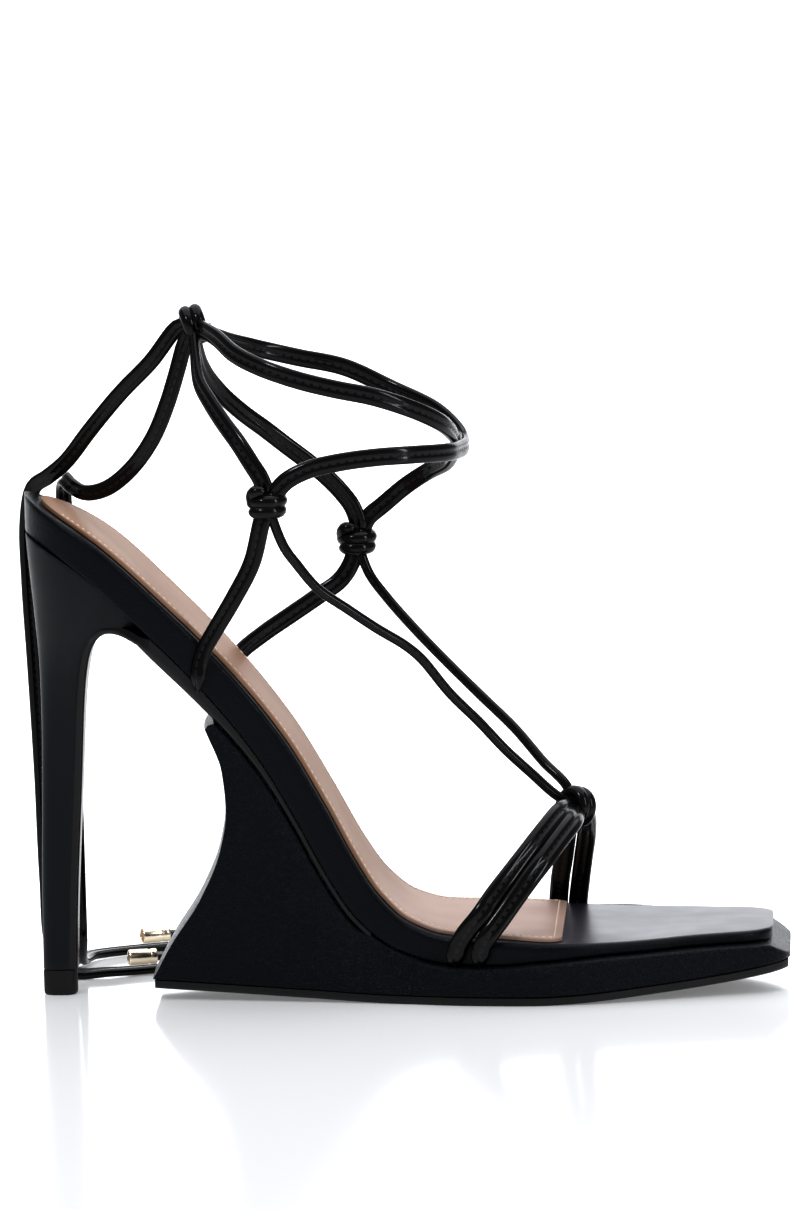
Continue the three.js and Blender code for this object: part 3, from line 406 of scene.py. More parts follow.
class StudioSizes(bpy.types.PropertyGroup):
    """The camera's place and framing."""

    distance: size("Distance", "Camera to the middle of the picture", 3000)
    picture_width: size("Picture width", "What the picture spans at that distance", 212)
    aim_x: size("Aim X", "Middle of the picture", 92.9)
    aim_z: size("Aim Z", "Middle of the picture", 102.5)
    azimuth: tilt("Azimuth", "Camera round the shoe", 2.3)
    elevation: tilt("Elevation", "Camera above the floor", 7)
    roll: tilt("Roll", "Camera about its line of sight", 1.4)


# Curves


def smooth_graph(rows, key, column):
    """A smooth function through a table's column that never overshoots a row."""
    xs = [row[key] for row in rows]
    ys = [row[column] for row in rows]
    slopes = [(ys[i + 1] - ys[i]) / (xs[i + 1] - xs[i]) for i in range(len(xs) - 1)]
    tangents = [slopes[0]]
    for before, after in zip(slopes, slopes[1:]):
        tangents.append(0 if before * after <= 0 else 2 * before * after / (before + after))
    tangents.append(slopes[-1])

    def at(x):
        p = min(max(x, xs[0]), xs[-1])
        i = 0
        while i < len(xs) - 2 and p > xs[i + 1]:
            i += 1
        span = xs[i + 1] - xs[i]
        t = (p - xs[i]) / span
        rise = ys[i + 1] - ys[i]
        a = tangents[i] * span - rise
        b = rise - tangents[i + 1] * span
        return ys[i] + t * rise + t * (1 - t) * ((1 - t) * a + t * b)

    return at


def straight_graph(points):
    """Straight lookup through (x, y) pairs sorted by x."""

    def at(x):
        i = 0
        while i < len(points) - 2 and x > points[i + 1][0]:
            i += 1
        (ax, ay), (bx, by) = points[i], points[i + 1]
        return ay + (x - ax) / (bx - ax) * (by - ay)

    return at


def graphs(rows, key):
    """A smooth function for each column of a table."""
    return {column: smooth_graph(rows, key, column) for column in rows[0]}


def spread(start, end, count):
    """Count + 1 even numbers from start to end."""
    return [start + (end - start) * i / count for i in range(count + 1)]


def clamp(value, low, high):
    return min(max(value, low), high)


def smoothstep(value, low, high):
    t = clamp((value - low) / (high - low), 0, 1)
    return t * t * (3 - 2 * t)


def hermite(t, a, b, slope_a, slope_b):
    """The cubic from a to b that leaves and arrives with the given slopes."""
    cubic = (2 * t**3 - 3 * t**2 + 1) * a + (3 * t**2 - 2 * t**3) * b
    return cubic + (t**3 - 2 * t**2 + t) * slope_a + (t**3 - t**2) * slope_b


def evenly(points, spacing):
    """Points a spacing apart on the centripetal curve through the given ones."""
    ends = [2 * points[0] - points[1], 2 * points[-1] - points[-2]]
    knots = [ends[0], *points, ends[1]]
    dense = [points[0]]
    for p0, p1, p2, p3 in zip(knots, knots[1:], knots[2:], knots[3:]):
        d0, d1, d2 = [max((b - a).length, 1e-6) ** 0.5 for a, b in ((p0, p1), (p1, p2), (p2, p3))]
        m1 = ((p1 - p0) / d0 - (p2 - p0) / (d0 + d1) + (p2 - p1) / d1) * d1
        m2 = ((p2 - p1) / d1 - (p3 - p1) / (d1 + d2) + (p3 - p2) / d2) * d1
        dense += [hermite(t, p1, p2, m1, m2) for t in spread(0, 1, 16)[1:]]
    walked = [0.0]
    for a, b in zip(dense, dense[1:]):
        walked.append(walked[-1] + (b - a).length)
    count = max(4, round(walked[-1] / spacing))
    even = []
    i = 0
    for reach in spread(0, walked[-1], count):
        while i < len(dense) - 2 and reach > walked[i + 1]:
            i += 1
        even.append(dense[i].lerp(dense[i + 1], (reach - walked[i]) / (walked[i + 1] - walked[i])))
    return even


def line_length(points):
    return sum((b - a).length for a, b in zip(points, points[1:]))


def outline(corners, arc, run):
    """Points round a polygon with softened corners, each corner given as y, z and its softness."""
    count = len(corners)
    spots = [Vector(corner[:2]) for corner in corners]

    def off(i, towards):
        reach = spots[towards % count] - spots[i % count]
        soft = min(corners[i % count][2], 0.45 * reach.length)
        return spots[i % count] + reach.normalized() * soft

    points = []
    for i in range(count):
        start, end = off(i, i - 1), off(i, i + 1)
        for t in spread(0, 1, arc):
            points.append(start * (1 - t) ** 2 + spots[i] * 2 * t * (1 - t) + end * t * t)
        following = off(i + 1, i)
        points += [end.lerp(following, t) for t in spread(0, 1, run)[1:-1]]
    return points


def corner_inset(x, front, corner):
    """How far a side is pulled in at x by a round corner that ends at the front."""
    reach = clamp((x - front + corner) / corner, 0, 1)
    return corner * (1 - math.sqrt(1 - reach**2))


class Last:
    """The shoe's curves, worked out from its sizes."""

    def __init__(self, scene):
        self.bed = scene.sandal_footbed
        self.heel = scene.sandal_heel
        self.platform = scene.sandal_platform
        self.straps = scene.sandal_straps
        self.finishes = scene.sandal_finishes
        self.bed_column = graphs(BED, "along")
        self.thick = smooth_graph(WAIST, "along", "thick")
        self.platform_column = graphs(PLATFORM, "along")
        self.bed_front = self.bed_x(1)
        self.platform_front = self.platform.back + self.platform.length
        gap = self.bed.gap
        self.bed_under = self.below(self.band)
        self.under_seat = self.below(lambda x: self.band(x) + gap)
        self.waist_outer = self.below(lambda x: self.band(x) + gap + self.waist(x))
        self.wedge_ceiling = self.below(lambda x: self.band(x) + 2 * gap + self.waist(x))

    def bed_x(self, along):
        return self.bed.back + along * self.bed.length

    def bed_share(self, x):
        return (x - self.bed.back) / self.bed.length

    def bed_top(self, x):
        return self.bed.seat_height * self.bed_column["top"](self.bed_share(x))

    def band(self, x):
        return self.bed.band * self.bed_column["band"](self.bed_share(x))

    def waist(self, x):
        return self.heel.sole_thickness * self.thick(self.bed_share(x))

    def below(self, depth):
        """A line parallel to the footbed's top, lower by a depth that changes along it."""
        step = 0.5 * MM
        points = []
        for share in spread(0, 1, 400):
            x = self.bed_x(share)
            slope = (self.bed_top(x + step) - self.bed_top(x - step)) / (2 * step)
            normal = Vector((slope, -1)).normalized()
            spot = Vector((x, self.bed_top(x))) + normal * depth(x)
            points.append((spot.x, spot.y))
        return straight_graph(points)

    def sides(self, x, back, front, radius, corner, rim=0.0, edge=0.0):
        """The bed's sides less a rim and an edge, pulled in round the seat and the toe corners."""
        heel_reach = clamp((back + radius - x) / radius, 0, 1)
        share, inset = math.sqrt(1 - heel_reach**2), corner_inset(x, front, corner)
        widths = [self.bed.ball_width * self.bed_column[side](self.bed_share(x)) for side in SIDES]
        return [(width - rim - edge) * share - inset for width in widths]

    def bed_sides(self, x):
        bed = self.bed
        return self.sides(x, bed.back, self.bed_front, bed.seat_radius, bed.toe_corner)

    def platform_share(self, x):
        return (x - self.platform.back) / self.platform.length

    def platform_sides(self, x, trim=0.0):
        inset = corner_inset(x, self.platform_front, self.platform.corner) + trim
        share, width = self.platform_share(x), self.bed.ball_width
        return [width * self.platform_column[side](share) - inset for side in SIDES]

    def floor_lift(self, x):
        return self.platform.toe_spring * self.platform_column["lift"](self.platform_share(x))

    def head_sides(self, x):
        """The wedge's head is as wide as the waist, its platform stands proud of the footbed."""
        foot = self.platform_sides(x)
        if x > self.bed_front:
            return foot
        proud = smoothstep(self.bed_share(x), 0.46, 0.56)
        return [
            (bed - self.bed.gap) * (1 - proud) + side * proud
            for bed, side in zip(self.bed_sides(x), foot)
        ]

    def wedge_top(self, x):
        held = min(x, self.bed_front)
        ceiling = self.wedge_ceiling(held)
        ledge = self.bed_under(held) - self.bed.gap * 1.2
        share = smoothstep(x, self.heel.sole_front - 4 * MM, self.heel.sole_front + 1 * MM)
        return ceiling * (1 - share) + min(ledge, ceiling + 2 * MM) * share

    def spot(self, along, side, rise):
        """A point by its share of the bed's length, of the ball's width and of the net's rise."""
        x = self.bed_x(along)
        return Vector((x, side * self.bed.ball_width, self.bed_top(x) + rise * self.straps.net_rise))

    def beside(self, along, hand, drop, out):
        """A point beside the band, out from its side, a drop of band heights under its top."""
        x = self.bed_x(along)
        outer, inner = self.bed_sides(x)
        side = -outer if hand < 0 else inner
        clear = self.bed.gap + self.straps.thickness / 2 + out * MM
        return Vector((x, side + hand * clear, self.bed_top(x) - drop * self.bed.band))


# Modelling


def rest_selection():
    """Leaves every object deselected."""
    if bpy.context.object and bpy.context.object.mode != "OBJECT":
        bpy.ops.object.mode_set(mode="OBJECT")
    bpy.ops.object.select_all(action="DESELECT")


def only(piece):
    """Makes the piece the only one selected."""
    rest_selection()
    piece.select_set(True)
    bpy.context.view_layer.objects.active = piece


def loft(name, rings, lengthwise=1.0):
    """A closed skin through rings of equal count, bent from a grid whose seam is merged."""
    rows, columns = len(rings), len(rings[0])
    rest_selection()
    bpy.ops.mesh.primitive_grid_add(x_subdivisions=columns, y_subdivisions=rows - 1, size=2)
    skin = bpy.context.object
    skin.name = name
    skin.data.name = name
    for vertex in skin.data.vertices:
        column = round((vertex.co.x + 1) / 2 * columns) % columns
        row = round((vertex.co.y + 1) / 2 * (rows - 1))
        vertex.co = rings[row][column]
    for loop in skin.data.uv_layers.active.data:
        loop.uv.y *= lengthwise
    bpy.ops.object.mode_set(mode="EDIT")
    bpy.ops.mesh.select_all(action="SELECT")
    bpy.ops.mesh.remove_doubles(threshold=1e-6)
    bpy.ops.mesh.fill_holes(sides=0)
    bpy.ops.mesh.select_all(action="SELECT")
    bpy.ops.mesh.normals_make_consistent(inside=False)
    bpy.ops.object.mode_set(mode="OBJECT")
    return skin


def use_modifier(piece, kind, **settings):
    """Adds a modifier and applies it."""
    only(piece)
    modifier = piece.modifiers.new(kind.title(), kind)
    for setting, value in settings.items():
        setattr(modifier, setting, value)
    bpy.ops.object.modifier_apply(modifier=modifier.name)


def cut(piece, cutter):
    """Takes the cutter's space out of the piece."""
    use_modifier(piece, "BOOLEAN", operation="DIFFERENCE", object=cutter, solver="EXACT")
    bpy.data.objects.remove(cutter)


def soften(piece, width, angle, segments):
    """Rounds the edges that turn by more than an angle in degrees."""
    limit = {"limit_method": "ANGLE", "angle_limit": math.radians(angle)}
    use_modifier(piece, "BEVEL", width=width, segments=segments, **limit)


def join(name, pieces):
    """One piece of several."""
    rest_selection()
    for piece in pieces:
        piece.select_set(True)
    bpy.context.view_layer.objects.active = pieces[0]
    if len(pieces) > 1:
        bpy.ops.object.join()
    pieces[0].name = name
    return pieces[0]


def wear(piece, angle, node, looks):
    """Smooths the piece up to an angle, gives it its finish and puts it in the CAD node's place."""
    only(piece)
    bpy.ops.object.shade_smooth_by_angle(angle=math.radians(angle))
    piece.data.materials.clear()
    piece.data.materials.append(looks.material)
    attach(piece, "root")
    if node:
        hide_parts(node)


def sideways(name, side_view, width, ribs=1, bow=0.0):
    """A side view's outline, given as x and z, made solid across the shoe."""
    rings = []
    for share in spread(-1, 1, 2 * ribs):
        shift = bow * (0.5 - (1 - share * share))
        rings.append([Vector((x + shift, share * width / 2, z)) for x, z in side_view])
    return loft(name, rings)


def slab(x, foot, head, floor, top, hem, soft, run=4):
    """A section across the shoe; foot and head give the reach to the outer and inner side."""
    corners = [
        (-foot[0], floor, hem),
        (-head[0], top, soft),
        (head[1], top, soft),
        (foot[1], floor, hem),
    ]
    return [Vector((x, y, z)) for y, z in outline(corners, 5, run)]


def toe_stations(front, corner):
    """Places along the shoe that crowd round the toe's corners."""
    return [front - corner * (1 - math.sin(math.radians(turn))) for turn in TOE_TURNS]


def stations(back, front, radius, corner):
    """Places along the shoe that crowd round the seat's curve and the toe's corners."""
    seat = [back + radius * (1 - math.cos(math.radians(turn))) for turn in SEAT_TURNS]
    toe = toe_stations(front, corner)
    return [*seat, *spread(seat[-1], toe[0], BED_SECTIONS)[1:-1], *toe]


# Materials


def maths(operation, reflected=False):
    """A method that adds a Math node, with its own value last where it is reflected."""

    def method(value, *others):
        operands = (*others, value) if reflected else (value, *others)
        return value.looks.node("ShaderNodeMath", {"operation": operation}, dict(enumerate(operands)))

    return method


class Value:
    """One output of a shader node that reads as a number or a vector in expressions."""

    __add__ = maths("ADD")
    __radd__ = maths("ADD", reflected=True)
    __sub__ = maths("SUBTRACT")
    __rsub__ = maths("SUBTRACT", reflected=True)
    __mul__ = maths("MULTIPLY")
    __rmul__ = maths("MULTIPLY", reflected=True)
    __lt__ = maths("LESS_THAN")
    __abs__ = maths("ABSOLUTE")
    fraction = maths("FRACT")
    at_most = maths("MINIMUM")

    def __init__(self, looks, socket):
        self.looks = looks
        self.socket = socket

    def part(self, axis):
        """The number that a vector has along one axis."""
        return self.looks.node("ShaderNodeSeparateXYZ", {}, {0: self}, out=axis)


class Looks:
    """One material and the nodes that feed its shader."""

    def __init__(self, name, colour, roughness, **settings):
        self.material = bpy.data.materials.new(name)
        self.material.use_nodes = True
        self.tree = self.material.node_tree
        self.shader = self.tree.nodes["Principled BSDF"]
        self.feed("Base Color", (*colour, 1))
        self.feed("Roughness", roughness)
        for socket, value in settings.items():
            self.feed(socket.replace("_", " "), value)
        self.point = self.node("ShaderNodeTexCoord", {}, {}, out="Object")

    def node(self, kind, settings, values, out=0):
        """A node with its settings made first, then the values or links of its sockets."""
        node = self.tree.nodes.new(kind)
        for setting, value in settings.items():
            setattr(node, setting, value)
        for socket, value in values.items():
            self.put(node.inputs[socket], value)
        return Value(self, node.outputs[out])

    def put(self, socket, value):
        if isinstance(value, Value):
            self.tree.links.new(value.socket, socket)
        else:
            socket.default_value = value

    def feed(self, socket, value):
        self.put(self.shader.inputs[socket], value)

    def noise(self, scale, detail, at=None):
        values = {"Vector": at or self.point, "Scale": scale, "Detail": detail}
        return self.node("ShaderNodeTexNoise", {}, values)

    def stretched(self, at, stretch):
        return self.node("ShaderNodeMapping", {}, {"Vector": at, "Scale": stretch})

    def cell_edges(self, scale):
        """The distance to the borders between small cells."""
        values = {"Vector": self.point, "Scale": scale}
        return self.node("ShaderNodeTexVoronoi", {"feature": "DISTANCE_TO_EDGE"}, values)

    def mixed(self, share, one, other):
        """A colour between two; a Mix node's colours are its sockets 6 and 7, and 2 comes out."""
        return self.node("ShaderNodeMix", {"data_type": "RGBA"}, {0: share, 6: one, 7: other}, out=2)

    def bump(self, height, distance, strength=1.0):
        """Raises the surface by the height, a number from 0 to 1, times the distance."""
        values = {"Height": height, "Distance": distance, "Strength": strength}
        self.feed("Normal", self.node("ShaderNodeBump", {}, values))


def grained_leather(name, colour, roughness, grain, depth, gloss):
    """Fine calf grain: small cells with creases between them, over a slow unevenness."""
    looks = Looks(name, colour, roughness, Specular_IOR_Level=gloss)
    looks.bump(looks.cell_edges(grain) * 0.7 + looks.noise(grain * 2.3, 2) * 0.3, depth)
    looks.feed("Roughness", roughness - 0.06 + looks.noise(90, 2) * 0.12)
    return looks


def gritty_rubber(name, colour, roughness, gloss, grain, depth):
    """Dull rubber with a fine grit."""
    looks = Looks(name, colour, roughness, Specular_IOR_Level=gloss)
    grit = looks.noise(grain, 3)
    looks.bump(grit, depth)
    looks.feed("Roughness", roughness + grit * 0.2)
    return looks


def polished_leather(name, colour, roughness):
    """Glossy leather under a thin clear coat."""
    coat = {"Coat_Weight": 0.26, "Coat_Roughness": 0.06}
    return Looks(name, colour, roughness, Specular_IOR_Level=0.14, **coat)


def strap_leather(name, last):
    """Glossy tube leather with a stitched channel along its middle and creases across."""
    colour, thread = last.finishes.strap, last.finishes.strap_thread
    looks = polished_leather(name, colour, 0.2)
    around = looks.node("ShaderNodeUVMap", {"uv_map": "UVMap"}, {})
    face = abs(abs(around.part(0) - 0.5) - 0.25)
    channel = 1 - (face * 22).at_most(1)
    beat = (around.part(1) * (1 / last.straps.stitch_step)).fraction()
    dash = (beat < 0.62) * (face < 0.024)
    creases = looks.noise(1.0, 3, looks.stretched(around, (5.0, 700.0, 1.0)))
    pores = looks.noise(1500, 2)
    looks.bump(creases * 0.2 + pores * 0.06 - channel * 0.5 + dash * 0.45, 0.2 * MM, 0.7)
    looks.feed("Base Color", looks.mixed(dash, (*colour, 1), (*thread, 1)))
    looks.feed("Roughness", 0.15 + creases * 0.12 + dash * 0.35)
    return looks


# The add-on's operators


class SandalStage(bpy.types.Operator):
    """Adds the camera, the lights and the pale floor"""

    bl_idname = "sandal.stage"
    bl_label = "Camera, lights and floor"

    def execute(self, context):
        scene = context.scene
        studio = scene.sandal_studio
        aim = Vector((studio.aim_x, 0, studio.aim_z))
        level_share = math.cos(studio.elevation)
        ahead = Vector(
            (
                -math.sin(studio.azimuth) * level_share,
                math.cos(studio.azimuth) * level_share,
                -math.sin(studio.elevation),
            )
        )
        level = ahead.cross(UPWARD).normalized()
        upright = level.cross(ahead)
        across = level * math.cos(studio.roll) - upright * math.sin(studio.roll)
        up = level * math.sin(studio.roll) + upright * math.cos(studio.roll)
        turn = Matrix((across, up, -ahead)).transposed()
        rest_selection()
        bpy.ops.object.camera_add(location=aim - ahead * studio.distance, rotation=turn.to_euler())
        camera = context.object
        camera.data.sensor_fit = "HORIZONTAL"
        camera.data.lens = camera.data.sensor_width * studio.distance / studio.picture_width
        camera.data.clip_end = FAR_CLIP
        scene.camera = camera

        for name, (place, spans, power) in LIGHTS.items():
            rest_selection()
            turn = (LIGHT_AIM - Vector(place)).to_track_quat("-Z", "Y").to_euler()
            bpy.ops.object.light_add(type="AREA", location=place, rotation=turn)
            lamp = context.object
            lamp.name = f"{name}_light"
            lamp.data.shape = "RECTANGLE"
            lamp.data.size, lamp.data.size_y = spans
            lamp.data.energy = power
            lamp.data.color = LAMP_COLOUR

        rest_selection()
        bpy.ops.mesh.primitive_plane_add(size=FLOOR_SIZE, location=FLOOR_PLACE)
        floor = context.object
        floor.name = "studio_floor"
        bpy.ops.object.transform_apply(location=True)
        pale = scene.sandal_finishes.floor
        looks = Looks("pale gloss floor", pale, 0.12, Specular_IOR_Level=0.5)
        looks.feed("Roughness", 0.09 + looks.noise(3.0, 2) * 0.03)
        looks.feed("Emission Color", (1, 1, 1, 1))
        looks.feed("Emission Strength", 0.22)
        floor.data.materials.append(looks.material)

        world = bpy.data.worlds.new("studio")
        world.use_nodes = True
        background = world.node_tree.nodes["Background"]
        background.inputs["Color"].default_value = SKY_COLOUR
        background.inputs["Strength"].default_value = 0.3
        scene.world = world
        scene.view_settings.view_transform = "Standard"
        scene.view_settings.gamma = VIEW_GAMMA
        return {"FINISHED"}


def twin_ring(centre, across, skin, width, thickness):
    """Two tubes side by side under one leather, with a channel between them."""
    ring = []
    for turn in spread(0, 1, 24)[:-1]:
        angle = 2 * math.pi * turn
        flat = math.cos(angle)
        full = math.copysign(abs(math.sin(angle)) ** 0.7, math.sin(angle))
        channel = 1 - 0.34 * math.exp(-((flat / 0.2) ** 2))
        ring.append(centre + across * (flat * width / 2) + skin * (full * channel * thickness / 2))
    return ring


def round_ring(centre, across, skin, width, thickness):
    ring = []
    for turn in spread(0, 1, 16)[:-1]:
        angle = 2 * math.pi * turn
        flat, full = math.cos(angle) * width / 2, math.sin(angle) * thickness / 2
        ring.append(centre + across * flat + skin * full)
    return ring


def sweep(name, path, width, thickness, outward, section, ends):
    """A strap along a path; outward gives the way that its face looks at a point.

    Each end thins by the share that ends gives.
    """
    across = None
    rings = []
    total = line_length(path)
    for i, centre in enumerate(path):
        ahead = (path[min(i + 1, len(path) - 1)] - path[max(i - 1, 0)]).normalized()
        flat = ahead.cross(outward(centre))
        if across is None:
            across = flat.normalized()
        elif flat.length > 0.2:
            flat.normalize()
            if flat.dot(across) < 0:
                flat.negate()
            across = (across * 0.75 + flat * 0.25).normalized()
        across = (across - ahead * across.dot(ahead)).normalized()
        skin = across.cross(ahead).normalized()
        near_end = min(i, len(path) - 1 - i) / 3
        scale = 1 - ends * max(0, 1 - near_end)
        rings.append(section(centre, across, skin, width * scale, thickness * scale))
    return loft(name, rings, total)


class SandalTies(bpy.types.Operator):
    """Adds the two loose ties with their metal tips"""

    bl_idname = "sandal.ties"
    bl_label = "Ties and tips"

    def execute(self, context):
        last = Last(context.scene)
        sizes, finishes = last.straps, last.finishes
        leather = strap_leather("tie leather", last)
        metal = Looks("pale gold", finishes.metal, 0.2, Metallic=1.0)
        turned = metal.noise(1.0, 3, metal.stretched(metal.point, (250, 2600, 2600)))
        metal.feed("Roughness", 0.16 + turned * 0.16)
        metal.bump(turned, 0.02 * MM, 0.5)
        bronze = Looks("bronze end", finishes.bronze, 0.38, Metallic=1.0)
        bronze.feed("Roughness", 0.3 + bronze.noise(2500, 2) * 0.2)
        knot = strap_knots(last)["back"][0]
        for side, points in (("outer", OUTER_TIE), ("inner", INNER_TIE)):
            route = [Vector(point) * MM for point in points]
            path = evenly([knot.lerp(route[0], 0.4), *route], TIE_STEP)
            section = (sizes.tie_width, sizes.tie_thickness, tie_face, twin_ring)
            strap = sweep(f"tie_strap_{side}", path, *section, 0.12)
            wear(strap, 60, f"tie_{side}", leather)
            tip = metal_tip(f"tie_metal_{side}", path, sizes)
            wear(tip, 50, f"tie_tip_{side}", metal)
            tip.data.materials.append(bronze.material)
            ahead = (path[-1] - path[-2]).normalized()
            for face in tip.data.polygons:
                reach = (face.center - path[-1]).dot(ahead)
                if face.normal.dot(ahead) > 0.95 and reach > sizes.tip_length * 0.9:
                    face.material_index = 1
        return {"FINISHED"}


def tie_face(point):
    """A tie lies flat on the floor, and hangs with its face to the side."""
    flat = smoothstep(point.z, 12 * MM, 2 * MM)
    return Vector((0.15, -1 + flat, flat)).normalized()


def metal_tip(name, path, sizes):
    """A turned sleeve with a rounded rim and a crimped dimple."""
    ahead = (path[-1] - path[-2]).normalized()
    ahead.z = 0
    ahead.normalize()
    radius, length = sizes.tip_diameter / 2, sizes.tip_length
    start = path[-1] + ahead * 0.3 * MM
    start.z = radius + 0.02 * MM
    across = UPWARD.cross(ahead)
    rings = []
    for share, wide in TIP_PROFILE:
        centre = start + ahead * (share * length)
        rings.append(round_ring(centre, across, UPWARD, 2 * radius * wide, 2 * radius * wide))
    return loft(name, rings)


class SandalStraps(bpy.types.Operator):
    """Adds the net of straps and the instep cords"""

    bl_idname = "sandal.straps"
    bl_label = "Straps"

    def execute(self, context):
        last = Last(context.scene)
        sizes = last.straps
        knots = strap_knots(last)
        middle = last.bed_x(0.4)

        def outward(point):
            return Vector((point.x - middle, point.y * 1.6, 0)).normalized()

        toe = (sizes.toe_width, sizes.toe_thickness)
        kinds = {
            "strap": (sizes.width, sizes.thickness, outward, twin_ring),
            "cord": (sizes.cord, sizes.cord, outward, round_ring),
            "outer_toe": (*toe, facing((0.2, -0.9, 0.25)), twin_ring),
            "inner_toe": (*toe, facing((0.2, 0.9, 0.4)), twin_ring),
        }
        pieces = []
        for name, (kind, points) in STRAPS.items():
            path = evenly(strap_route(last, knots, points), STRAP_STEP)
            pieces.append(sweep(name, path, *kinds[kind], 0.5))
        net = join("strap_net", pieces)
        wear(net, 60, "strap_upper", strap_leather("strap leather", last))
        return {"FINISHED"}


def strap_knots(last):
    """Where the four knots sit, the way their straps run and the side of their bight."""
    return {
        "outer": (last.spot(0.336, -0.41, 0.749), Vector((0.12, 0, 1)).normalized(), 1),
        "inner": (last.spot(0.441, 0.41, 0.983), Vector((0.12, 0, 1)).normalized(), 1),
        "toe": (last.spot(0.736, 0.05, 0.39), Vector((0.5, 0.6, -0.2)).normalized(), -1),
        "back": (last.spot(0.235, 0.0, 1.0), Vector((1, 0, 0.2)).normalized(), 1),
    }


def strap_route(last, knots, points):
    """A strap's points, where a name stands for a knot and four numbers for a place by the band."""
    places = {3: last.spot, 4: last.beside}
    return [knots[point][0] if point in knots else places[len(point)](*point) for point in points]


class SandalKnots(bpy.types.Operator):
    """Adds the wraps of the four knots"""

    bl_idname = "sandal.knots"
    bl_label = "Knots"

    def execute(self, context):
        last = Last(context.scene)
        wraps = []
        for name, knot in strap_knots(last).items():
            wraps += knot_wraps(name, *knot, last.straps)
        knots = join("strap_knots", wraps)
        looks = polished_leather("knot leather", last.finishes.strap, 0.18)
        creases = looks.noise(420, 3)
        looks.bump(creases, 0.08 * MM, 0.6)
        looks.feed("Roughness", 0.15 + creases * 0.12)
        wear(knots, 60, "strap_upper", looks)
        return {"FINISHED"}


def knot_wraps(name, centre, axis, hand, sizes):
    """Two thick turns round the knot's core and the bight that crosses them at one side."""
    side = Vector((1, 0, 0)) if abs(axis.z) > 0.9 else UPWARD
    u = axis.cross(side).normalized()
    v = axis.cross(u).normalized()
    thick, pitch, width = sizes.knot_turn, sizes.knot_pitch, sizes.knot_width
    radius = (width - thick) / 2

    def outward(point):
        away = point - centre
        return (away - axis * away.dot(axis)).normalized()

    helix = []
    for turn in spread(-1.02, 1.02, 32):
        angle = 2 * math.pi * (turn + 0.3)
        spot = u * (radius * 0.88 * math.cos(angle)) + v * (radius * math.sin(angle))
        helix.append(centre + axis * (turn * pitch) + spot)
    bight = []
    for turn in spread(-0.62, 0.62, 14):
        angle = math.pi * turn
        reach = radius * (0.55 + 0.62 * math.cos(angle))
        spot = v * (hand * reach) + axis * (pitch * (0.55 + 0.75 * math.sin(angle)))
        bight.append(centre + spot - u * (radius * (0.35 + 0.75 * math.sin(angle))))
    core = [centre + axis * (pitch * share) for share in (-1.1, 0, 1.1)]
    parts = (
        ("turns", evenly(helix, KNOT_STEP), thick, thick, outward, 0.35),
        ("bight", evenly(bight, KNOT_STEP), thick * 0.9, thick * 0.8, outward, 0.4),
        ("core", evenly(core, CORE_STEP), width * 0.6, width * 0.55, facing(u), 0.3),
    )
    return [
        sweep(f"{name}_{part}", path, wide, deep, face, round_ring, ends)
        for part, path, wide, deep, face, ends in parts
    ]


def facing(direction):
    """A strap's face that looks one way all along."""
    return lambda point: Vector(direction)


class SandalFootbed(bpy.types.Operator):
    """Adds the footbed with its wrapped edge and satin top"""

    bl_idname = "sandal.footbed"
    bl_label = "Footbed"

    def execute(self, context):
        last = Last(context.scene)
        bed, finishes = last.bed, last.finishes
        rings = []
        for x in stations(bed.back, last.bed_front, bed.seat_radius, bed.toe_corner):
            sides = last.bed_sides(x)
            hem, soft = min(HEM, sides[0] * 0.3), min(bed.edge, sides[0] * 0.5)
            rings.append(slab(x, sides, sides, last.bed_under(x), last.bed_top(x), hem, soft))
        cover = loft("footbed_cover", rings)
        leather = grained_leather("footbed leather", finishes.leather, 0.3, 1300, 0.15 * MM, 0.16)
        satin = grained_leather("footbed satin", finishes.satin, 0.34, 2200, 0.03 * MM, 0.56)
        wear(cover, 45, "footbed", leather)
        cover.data.materials.append(satin.material)
        front = last.bed_x(0.5)
        for face in cover.data.polygons:
            outer, inner = last.bed_sides(clamp(face.center.x, bed.back, last.bed_front))
            inside = -outer + bed.edge < face.center.y < inner - bed.edge
            if face.normal.z > 0.5 and face.center.x > front and inside:
                face.material_index = 1
        return {"FINISHED"}


